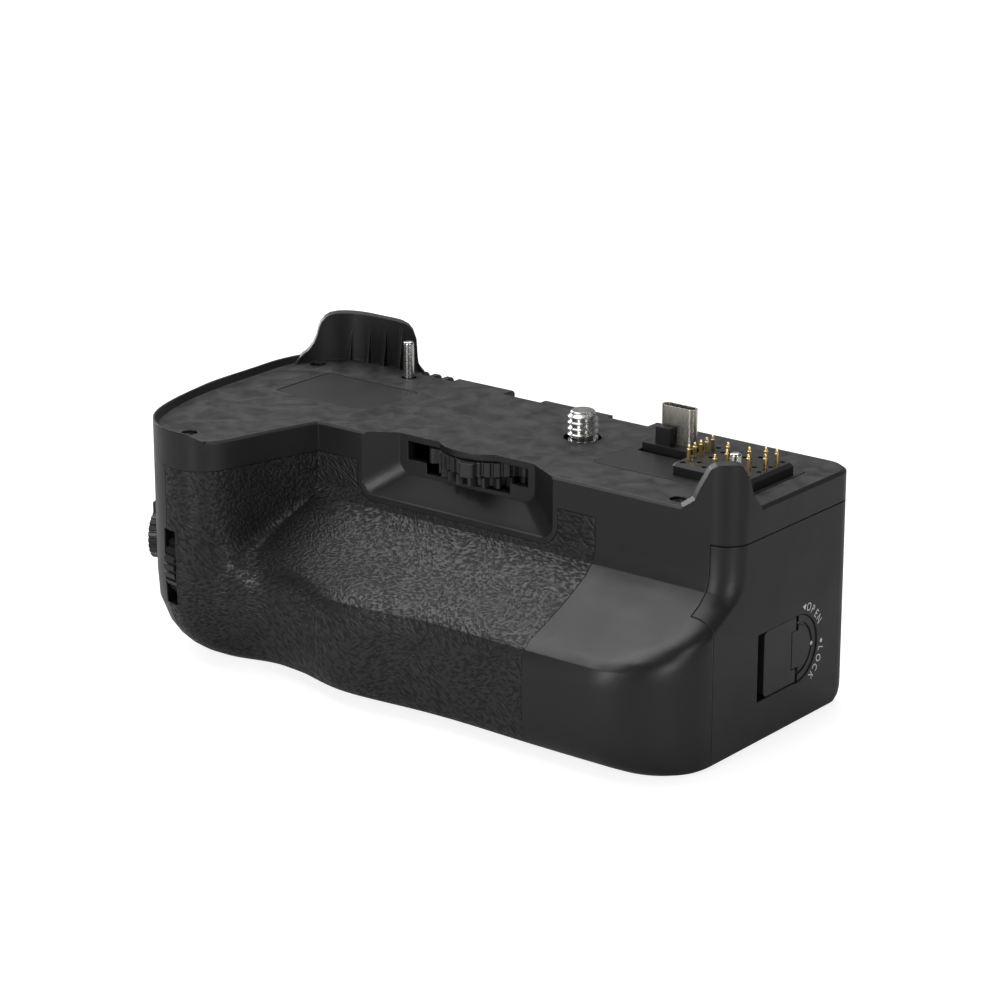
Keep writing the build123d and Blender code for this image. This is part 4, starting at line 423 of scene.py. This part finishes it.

# %% [markdown]
# ## Leather-grained rubber
#
# The covering is a rubber skin pressed in a mould with a leather grain: fine
# wrinkles, about three times as long as they are wide, whose direction
# wanders over the surface. Three sets of stretched noise lie at different
# angles, and two slow noises choose between them from patch to patch. The
# creases carry painted shade: a darker colour and less mirror sheen than the
# tops, and the tops are polished by fingers to a lower roughness. Wide
# shallow dents lie under the grain, and the tooth of the mould on top of it.

# %% Grained rubber
RUBBER_IOR = 1.5
RUBBER_ROUNDING = 0.25
WRINKLE_LENGTH = 1.15
WRINKLE_WIDTH = 0.42
WRINKLE_ANGLES = (8.0, -24.0, 40.0)
WRINKLE_SEED = 3.7
INWARD_STRETCH = 1.3
GRAIN_PATCH = 11.0
PATCH_SEED = 2.5
PATCH_SPAN = (0.42, 0.6)
TOP_SPAN = (0.32, 0.66)
GRAIN_DEPTH = 0.075
DENT_SIZE = 3.5
DENT_STRENGTH = 0.6
GRIT_STRENGTH = 0.3
# Painted shade in the grain's creases: a darker colour, and less sheen than the tops.
CREASE_SHADE_COLOUR = "0F0F10"
CREASE_DULLING = 0.2
CREASE_SHADE_SHEEN = 0.27
TOP_SHEEN = 0.46


def wrinkles(tree, place, angle, seed):
    """Noise stretched along one direction on the front."""
    stretched = add_node(
        tree, "Mapping", vector_type="TEXTURE", Vector=place,
        Rotation=(0, math.radians(angle), 0),
        Scale=(WRINKLE_LENGTH * MM, WRINKLE_WIDTH * MM * INWARD_STRETCH, WRINKLE_WIDTH * MM))
    return add_node(
        tree, "TexNoise", noise_dimensions="4D", W=seed, Vector=stretched.outputs[0], Scale=1.0,
        Detail=0.6, Roughness=0.4, Distortion=0.35).outputs["Fac"]


def grained_rubber(name, hex_code, roughness):
    """Rubber with a leather grain pressed into it, and painted shade in its creases."""
    material, tree, shader, place = new_material(name)
    grain = wrinkles(tree, place, WRINKLE_ANGLES[0], 0.0)
    for index, angle in enumerate(WRINKLE_ANGLES[1:], 1):
        patch = noise(
            tree, place, GRAIN_PATCH, 0.0, noise_dimensions="4D", W=index * PATCH_SEED)
        chosen = remap(tree, patch, PATCH_SPAN, interpolation_type="SMOOTHSTEP")
        grain = mix(tree, chosen, grain, wrinkles(tree, place, angle, index * WRINKLE_SEED))
    top = remap(tree, grain, TOP_SPAN, interpolation_type="SMOOTHSTEP")

    dents = noise(tree, place, DENT_SIZE, 2.0)
    grit = noise(tree, place, SPARK_TOOTH, 2.0)
    edges = rounded_edges(tree, RUBBER_ROUNDING)
    dented = bump(tree, dents, DENT_STRENGTH, GRAIN_DEPTH, edges)
    pressed = bump(tree, top, 1.0, GRAIN_DEPTH, dented)
    # Painted shade: the creases get a darker colour and a weaker sheen than the tops.
    set_up(
        tree, shader, IOR=RUBBER_IOR,
        Base_Color=mix_colours(tree, top, paint(CREASE_SHADE_COLOUR), paint(hex_code)),
        Specular_IOR_Level=remap(tree, top, (0.0, 1.0), (CREASE_SHADE_SHEEN, TOP_SHEEN)),
        Roughness=remap(tree, top, (0.0, 1.0), (roughness + CREASE_DULLING, roughness)),
        Normal=bump(tree, grit, GRIT_STRENGTH, SPARK_DEPTH, pressed))
    return material


grip_rubber = grained_rubber("leather_grained_rubber", "1D1D1E", 0.36)
stick_rubber = moulded_plastic("stick_smooth_rubber", "1F1F20", 0.62, tooth=0.2, rounding=0.3)
print("wrinkles of", WRINKLE_LENGTH, "by", WRINKLE_WIDTH, "mm")

# %% [markdown]
# ## Metals
#
# The plug is drawn stainless sheet, bright with a faint warm tint. The pins,
# axles and camera screw are turned steel: the lathe leaves rings round them,
# which a fine banded noise along Z stands for. The contacts are gold-plated
# brass, the small screws are blackened, the foot plate is brushed steel, and
# the inner frame is a plain die casting.

# %% Turned, drawn and plated metal
STREAK_POLISH = 0.8
STREAK_DULLING = 1.3
STREAK_STRENGTH = 0.15
NO_WAY = (1.0, 1.0, 1.0)
RINGS = (0.05, 0.05, 1.0)
UPRIGHT = (1.0, 1.0, 0.04)
LENGTHWISE = (0.04, 1.0, 1.0)


def metal(name, hex_code, roughness, streak, streak_way=NO_WAY, depth=0.003, rounding=0.08):
    """Metal with streaks of a real width, longer along the axes with a small share."""
    material, tree, shader, place = new_material(name)
    stretched = add_node(tree, "Mapping", Scale=streak_way, Vector=place).outputs[0]
    streaks = noise(tree, stretched, streak, 3.0)
    edges = rounded_edges(tree, rounding)
    set_up(
        tree, shader, Base_Color=paint(hex_code), Metallic=1.0,
        Roughness=remap(
            tree, streaks, NOISE_SPAN, (roughness * STREAK_POLISH, roughness * STREAK_DULLING)),
        Normal=bump(tree, streaks, STREAK_STRENGTH, depth, edges))
    return material


gold_plate = metal("gold_plated_brass", "E9CD8E", 0.34, 0.15, RINGS)
plug_steel = metal("drawn_stainless_sheet", "D6D1C8", 0.26, 0.10, UPRIGHT, depth=0.0008)
turned_steel = metal("turned_stainless", "C6C6C4", 0.24, 0.12, RINGS)
screw_steel = metal("blackened_screw_steel", "3A3A3B", 0.38, 0.2)
foot_steel = metal("brushed_foot_steel", "B9B9B7", 0.30, 0.08, LENGTHWISE)
frame_alloy = metal("die_cast_alloy", "9A9A9C", 0.50, 0.6, depth=0.01, rounding=0.3)
bush_brass = metal("turned_brass", "B69A5A", 0.3, 0.12, RINGS)
print("metal streaks:", STREAK_POLISH, "to", STREAK_DULLING, "of the roughness")

# %% [markdown]
# ## Moulded dials and buttons, circuit board, print
#
# Dials and buttons are the same ABS with a tighter gloss from handling. The
# thumb wheel is metal under black lacquer, and lacquer over metal looks like
# a glossy plastic. The board is glass laminate under green solder mask. The
# printed marks are white pad-printing ink, slightly chalky.

# %% Dials, wheel, board and ink
dial_abs = moulded_plastic(
    "dial_black_abs", "1C1C1D", 0.34, tooth=0.2, depth=0.003, rounding=0.12)
wheel_lacquer = moulded_plastic(
    "black_lacquered_wheel", "2A2A2B", 0.30, tooth=0.2, depth=0.002, rounding=0.2)
button_abs = moulded_plastic(
    "polished_button_abs", "19191A", 0.22, tooth=0.4, depth=0.001, rounding=0.2)
WEAVE_SIZE = 3.0
CHALK_SIZE = 0.3


def solder_mask():
    """Green lacquer over glass laminate, with a faint weave."""
    material, tree, shader, place = new_material("green_solder_mask")
    weave = add_node(
        tree, "TexWave", Vector=place, Scale=per_metre(WEAVE_SIZE), Distortion=1.0, Detail=1.0)
    tone = mix_colours(tree, weave.outputs["Fac"], paint("1C4B2C"), paint("235A36"))
    set_up(tree, shader, Roughness=0.3, Base_Color=tone)
    return material


def printing_ink():
    """White pad-printing ink with a chalky, slightly uneven cover."""
    material, tree, shader, place = new_material("white_printing_ink")
    chalk = noise(tree, place, CHALK_SIZE, 3.0)
    tone = mix_colours(tree, chalk, paint("D2D2D0"), paint("EDEDEB"))
    set_up(tree, shader, Roughness=0.6, Base_Color=tone)
    return material


board_lacquer = solder_mask()
white_ink = printing_ink()
print("materials in all:", len(bpy.data.materials))

# %% [markdown]
# ## Dressing the CAD nodes
#
# Every node gets its finish. The CAD meshes come as loose triangles. Weld
# joins them again, and an edge split at a set angle leaves real corners sharp
# while the slow curves of the grip shade smoothly from facet to facet.

# %% Finish for each node
FINISHES = {
    "main_housing": housing_abs, "control_panel": panel_abs, "end_cap": cap_abs,
    "front_grip_cover": grip_rubber, "thumb_pad": grip_rubber, "deck_patch": patch_abs,
    "connector_plate": plate_abs, "contact_block": block_abs, "contact_pins": gold_plate,
    "plug_shell": plug_steel, "plug_insert": insert_nylon, "plug_base": block_abs,
    "locating_pins": turned_steel, "deck_screws": screw_steel, "foot_plate": foot_steel,
    "tripod_socket": foot_steel, "foot_screws": screw_steel, "inner_frame": frame_alloy,
    "circuit_board": board_lacquer, "lock_wheel": wheel_lacquer, "wheel_axle": turned_steel,
    "camera_screw": turned_steel, "screw_bush": bush_brass, "front_dial": dial_abs,
    "front_dial_axle": turned_steel, "rear_dial": dial_abs, "rear_dial_axle": turned_steel,
    "lock_lever": dial_abs, "shutter_button": button_abs, "af_button": button_abs,
    "function_button": button_abs, "button_switches": block_abs, "gimbal_ring": block_abs,
    "thumb_stick": stick_rubber, "battery_tray": tray_abs, "inner_battery": pack_abs,
    "outer_battery": pack_abs, "battery_contacts": gold_plate, "latch_knob": latch_abs,
    "latch_hinge_pin": turned_steel, "latch_handle": latch_abs,
    "latch_spindle": turned_steel, "latch_bolt": frame_alloy,
}
WELD_DISTANCE = 0.002
CAD_CORNER_ANGLE = 24.0
NEW_CORNER_ANGLE = 35.0


def sharp_corners(piece, angle):
    """Split a smooth-shaded piece where two faces meet at more than an angle."""
    corners = piece.modifiers.new("corners", "EDGE_SPLIT")
    corners.split_angle = math.radians(angle)


def dress(node_name, material):
    """Give a CAD node its material and smooth shading between real corners."""
    node = nodes[node_name]
    node.data.materials.clear()
    node.data.materials.append(material)
    if "custom_normal" in node.data.attributes:
        node.data.attributes.remove(node.data.attributes["custom_normal"])
    node.data.shade_smooth()
    weld = node.modifiers.new("weld", "WELD")
    weld.merge_threshold = WELD_DISTANCE * MM
    sharp_corners(node, CAD_CORNER_ANGLE)


for node_name, material in FINISHES.items():
    dress(node_name, material)
print("dressed", len(FINISHES), "of", len(nodes), "nodes")

# %% [markdown]
# ## Small helpers for new pieces
#
# A new piece is modelled straight in its place, in metres, and then named,
# given its material and hung on the CAD body that it moves with.

# %% Making a piece from a bmesh
def finish_piece(name, mesh, material, body, replaced=()):
    """Turn a bmesh into an object that rides on a body."""
    bmesh.ops.recalc_face_normals(mesh, faces=mesh.faces)
    data = bpy.data.meshes.new(name)
    mesh.to_mesh(data)
    mesh.free()
    data.shade_smooth()
    data.materials.append(material)
    piece = bpy.data.objects.new(name, data)
    bpy.context.scene.collection.objects.link(piece)
    sharp_corners(piece, NEW_CORNER_ANGLE)
    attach(piece, body)
    if replaced:
        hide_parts(*replaced)
    print(name, "has", len(data.polygons), "faces")


def merged_copy(node_name):
    """Bmesh copy of a CAD node with its loose triangles joined."""
    mesh = bmesh.new()
    mesh.from_mesh(nodes[node_name].data)
    bmesh.ops.remove_doubles(mesh, verts=mesh.verts, dist=WELD_DISTANCE * MM)
    return mesh


def solids_of(node_name):
    """Lowest and highest corner of each separate solid in a node."""
    mesh = merged_copy(node_name)
    left, boxes = set(mesh.verts), []
    for first in mesh.verts:
        if first not in left:
            continue
        left.discard(first)
        group, stack = [], [first]
        while stack:
            vert = stack.pop()
            group.append(vert)
            for edge in vert.link_edges:
                other = edge.other_vert(vert)
                if other in left:
                    left.discard(other)
                    stack.append(other)
        low = Vector([min(v.co[axis] for v in group) for axis in range(3)])
        high = Vector([max(v.co[axis] for v in group) for axis in range(3)])
        boxes.append((low, high))
    mesh.free()
    return boxes


def upright_verts(mesh, centre, profile):
    """Vertices of a profile of (radius, height) points beside an upright axis."""
    return [mesh.verts.new((centre.x + radius, centre.y, height)) for radius, height in profile]


def lathe(mesh, centre, profile, steps):
    """Turn a profile of (radius, height) points round an upright axis."""
    verts = upright_verts(mesh, centre, profile)
    edges = [mesh.edges.new(pair) for pair in zip(verts, verts[1:])]
    bmesh.ops.spin(
        mesh, geom=verts + edges, cent=(centre.x, centre.y, 0), axis=(0, 0, 1),
        angle=math.tau, steps=steps, use_merge=True, use_normal_flip=False, use_duplicate=False)


print("contact pins in the node:", len(solids_of("contact_pins")))

# %% [markdown]
# ## Sprung contacts
#
# Each contact is a plunger in a barrel: a plated tube with a rolled collar,
# and a slimmer pin with a round tip that stands out of it. Both are turned
# parts, so a profile is spun round the pin's axis. The places and heights
# come from the CAD pins. Radii are shares of the pin's radius, heights are
# shares of its rise above the block, and the tip's dome is drawn in shares of
# the tip's own radius: how wide it is, and how far below the top.

# %% Contact plungers
FOOT_RADIUS_SHARE = 0.8
FOOT_TOP_SHARE = 0.1
BARREL_RADIUS_SHARE = 0.92
BARREL_SHARE = 0.62
ROLL_SHARE = 0.06
COLLAR_SHARE = 0.72
COLLAR_STEP_SHARE = 0.03
TIP_RADIUS_SHARE = 0.66
TIP_DOME = ((1.0, 0.8), (0.8, 0.3), (0.4, 0.05), (0.0, 0.0))
PLUNGER_STEPS = 14
TOUCHING = 0.001


def contact_plungers():
    """All sprung contacts as one plated piece."""
    mesh = bmesh.new()
    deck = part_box("contact_block")[1].z
    for low, high in solids_of("contact_pins"):
        radius = (high.x - low.x) / 2
        rise = high.z - deck
        foot = radius * FOOT_RADIUS_SHARE
        barrel = radius * BARREL_RADIUS_SHARE
        tip = radius * TIP_RADIUS_SHARE
        profile = [
            (0.0, low.z), (foot, low.z), (foot, deck - rise * FOOT_TOP_SHARE),
            (barrel, deck), (barrel, deck + rise * (BARREL_SHARE - ROLL_SHARE)),
            (radius, deck + rise * BARREL_SHARE), (radius, deck + rise * COLLAR_SHARE),
            (tip, deck + rise * (COLLAR_SHARE + COLLAR_STEP_SHARE)),
        ]
        profile += [(tip * width, high.z - tip * below) for width, below in TIP_DOME]
        lathe(mesh, (low + high) / 2, profile, PLUNGER_STEPS)
    bmesh.ops.remove_doubles(mesh, verts=mesh.verts, dist=TOUCHING * MM)
    return mesh


finish_piece(
    "contact_plungers", contact_plungers(), gold_plate, "contacts",
    ["contact_pins"])

# %% [markdown]
# ## Threads
#
# The screw has the standard quarter-inch thread of cameras, 20 turns to the
# inch, so its pitch is 1.27 mm. A thread is a small V profile carried round
# the axis while it climbs, and bmesh's spin does that when it is given a
# shift for each step. The socket in the underside has the same thread, cut
# inwards.

# %% Thread shape
THREAD_PITCH = 1.27
THREAD_DEPTH = 0.62
THREAD_STEPS = 36
CRESTS_IN_PITCH = 8


def thread(mesh, centre, root, crest, start, end):
    """Closed helical ridge between two heights, from a root radius to a crest radius."""
    half = THREAD_PITCH * MM / 2
    flat = THREAD_PITCH * MM / CRESTS_IN_PITCH
    turns = (end - start - 2 * half) / (THREAD_PITCH * MM)
    steps = round(turns * THREAD_STEPS)
    profile = [
        (root, start), (crest, start + half - flat / 2), (crest, start + half + flat / 2),
        (root, start + 2 * half),
    ]
    verts = upright_verts(mesh, centre, profile)
    face = mesh.faces.new(verts)
    climb = (end - start - 2 * half) / steps
    bmesh.ops.spin(
        mesh, geom=[face] + verts + list(face.edges), cent=(centre.x, centre.y, 0),
        axis=(0, 0, 1), dvec=(0, 0, climb), angle=math.tau * turns, steps=steps,
        use_merge=False, use_normal_flip=False, use_duplicate=False)


print("thread pitch", THREAD_PITCH, "mm, depth", THREAD_DEPTH, "mm")

# %% [markdown]
# The CAD screw is kept up to its neck just under the deck. A core as wide as
# the thread's root stands on it, sunk in a little, with a low collar round
# its foot.

# %% Threaded camera screw
screw_low, screw_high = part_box("camera_screw")
SCREW_RADIUS = 3.175
SCREW_STEPS = 48
NECK_UNDER_DECK = 0.6
CORE_SINK = 0.4
TIP_CHAMFER = 0.25
COLLAR_SINK = 0.2
COLLAR_INSET = 0.1
COLLAR_INNER_SHARE = 0.9
COLLAR_OUTER_HEIGHT = 0.25
COLLAR_INNER_HEIGHT = 0.35
ROOT_OVERLAP = 0.02
THREAD_UNDER_TIP = 0.12


def threaded_screw():
    """The CAD screw cut off at the deck, with a threaded end on it."""
    mesh = merged_copy("camera_screw")
    shoulder = deck_z - NECK_UNDER_DECK * MM
    centre = (screw_low + screw_high) / 2
    bmesh.ops.bisect_plane(
        mesh, geom=mesh.verts[:] + mesh.edges[:] + mesh.faces[:], plane_co=(0, 0, shoulder),
        plane_no=(0, 0, 1), clear_outer=True)
    crest = SCREW_RADIUS * MM
    root = crest - THREAD_DEPTH * MM
    top = screw_high.z
    core = [
        (0.0, shoulder - CORE_SINK * MM), (root, shoulder - CORE_SINK * MM),
        (root, top - TIP_CHAMFER * MM), (root - TIP_CHAMFER * MM, top), (0.0, top),
    ]
    inner = root * COLLAR_INNER_SHARE
    outer = crest - COLLAR_INSET * MM
    collar = [
        (inner, shoulder - COLLAR_SINK * MM), (outer, shoulder - COLLAR_SINK * MM),
        (outer, shoulder + COLLAR_OUTER_HEIGHT * MM),
        (inner, shoulder + COLLAR_INNER_HEIGHT * MM),
    ]
    for profile in (core, collar):
        lathe(mesh, centre, profile, SCREW_STEPS)
    thread(
        mesh, centre, root - ROOT_OVERLAP * MM, crest, shoulder, top - THREAD_UNDER_TIP * MM)
    return mesh


finish_piece(
    "threaded_camera_screw", threaded_screw(), turned_steel, "screw",
    ["camera_screw"])

# %% Thread in the tripod socket
socket_low, socket_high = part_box("tripod_socket")
SOCKET_MOUTH = 0.3
SOCKET_END = 0.9

socket_mesh = bmesh.new()
thread(
    socket_mesh, (socket_low + socket_high) / 2, (SCREW_RADIUS + ROOT_OVERLAP) * MM,
    (SCREW_RADIUS - THREAD_DEPTH) * MM, socket_low.z + SOCKET_MOUTH * MM,
    socket_high.z - SOCKET_END * MM)
finish_piece("socket_thread", socket_mesh, foot_steel, "housing")

# %% [markdown]
# ## Printed marks round the latch
#
# The end cap carries the words OPEN and LOCK on an arc round the latch, an
# arrow and a dot, and the knob has a dot that points at them. Pad printing is
# hardly thicker than paint: each letter is a text object made into a flat
# mesh, the arrow and the dots are flat discs with few or many corners, and
# all of them lie a hundredth of a millimetre off the face. Angles are in
# degrees round the latch, from the back upwards.

# %% Print on the end cap
knob_low, knob_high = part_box("latch_knob")
cap_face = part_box("end_cap")[1].x
LATCH_CENTRE = Vector(
    (cap_face, (knob_low.y + knob_high.y) / 2, (knob_low.z + knob_high.z) / 2))
INK_LIFT = 0.01
PRINT_RADIUS = 8.7
LETTER_HEIGHT = 1.75
LETTER_WIDTH_SHARE = 0.82
CAPITAL_SHARE = 0.7
CURVE_STEPS = 3
DOT_RADIUS = 0.42
DOT_CORNERS = 20


def on_cap(radius_mm, angle, lift_mm=0.0):
    """Point on the end cap by distance and angle round the latch."""
    turn = math.radians(angle)
    from_centre = Vector((lift_mm, math.cos(turn) * radius_mm, math.sin(turn) * radius_mm))
    return LATCH_CENTRE + from_centre * MM


def facing_out(place, angle):
    """Matrix that lays a flat drawing on the cap with its up direction at an angle."""
    turn = math.radians(angle)
    up = Vector((0, math.cos(turn), math.sin(turn)))
    out = Vector((1, 0, 0))
    across = up.cross(out)
    return Matrix.Translation(place) @ Matrix((across, up, out)).transposed().to_4x4()


def letter_mesh(letter):
    """One letter as a flat mesh, centred, with its height in metres."""
    curve = bpy.data.curves.new("letter", "FONT")
    curve.body = letter
    curve.align_x = "CENTER"
    curve.align_y = "CENTER"
    curve.size = LETTER_HEIGHT * MM / CAPITAL_SHARE
    curve.resolution_u = CURVE_STEPS
    drawing = bpy.data.objects.new("letter", curve)
    bpy.context.scene.collection.objects.link(drawing)
    bpy.context.view_layer.update()
    data = bpy.data.meshes.new_from_object(drawing)
    bpy.data.objects.remove(drawing)
    return data


def print_word(mesh, word, first_angle, pitch_angle):
    """Letters of a word, one after the other clockwise round the latch."""
    for index, letter in enumerate(word):
        angle = first_angle - index * pitch_angle
        data = letter_mesh(letter)
        data.transform(Matrix.Diagonal((LETTER_WIDTH_SHARE, 1, 1, 1)))
        data.transform(facing_out(on_cap(PRINT_RADIUS, angle, INK_LIFT), angle))
        mesh.from_mesh(data)


def print_dot(mesh, place, radius_mm, corners=DOT_CORNERS, angle=0.0):
    """Flat disc on the cap, a triangle where it has three corners."""
    bmesh.ops.create_circle(
        mesh, cap_ends=True, segments=corners, radius=radius_mm * MM,
        matrix=facing_out(place, angle))


print("latch at", [round(part / MM, 2) for part in LATCH_CENTRE])

# %% OPEN, LOCK, arrow and dots
ARROW_ANGLE = 74.0
ARROW_TURN = 161.0
ARROW_DISTANCE = 8.6
ARROW_RADIUS = 0.75
OPEN_START = 63.5
OPEN_PITCH = 11.5
LOCK_ANGLE = -4.0
LOCK_START = -14.5
LOCK_PITCH = 13.0
KNOB_DOT_DISTANCE = 5.4
KNOB_DOT_ANGLE = -3.0

ink = bmesh.new()
print_dot(ink, on_cap(ARROW_DISTANCE, ARROW_ANGLE, INK_LIFT), ARROW_RADIUS, 3, ARROW_TURN)
print_word(ink, "OPEN", OPEN_START, OPEN_PITCH)
print_dot(ink, on_cap(PRINT_RADIUS, LOCK_ANGLE, INK_LIFT), DOT_RADIUS)
print_word(ink, "LOCK", LOCK_START, LOCK_PITCH)
for face in ink.faces:
    face.normal_update()
finish_piece("printed_marks", ink, white_ink, "tray")

knob_dot = bmesh.new()
knob_face = on_cap(KNOB_DOT_DISTANCE, KNOB_DOT_ANGLE)
knob_face.x = knob_high.x + INK_LIFT * MM
print_dot(knob_dot, knob_face, DOT_RADIUS)
finish_piece("knob_dot", knob_dot, white_ink, "tray")

# %% [markdown]
# ## The end of the script
#
# The last step sets the view transform to Standard.

# %% View transform
bpy.context.scene.view_settings.view_transform = "Standard"
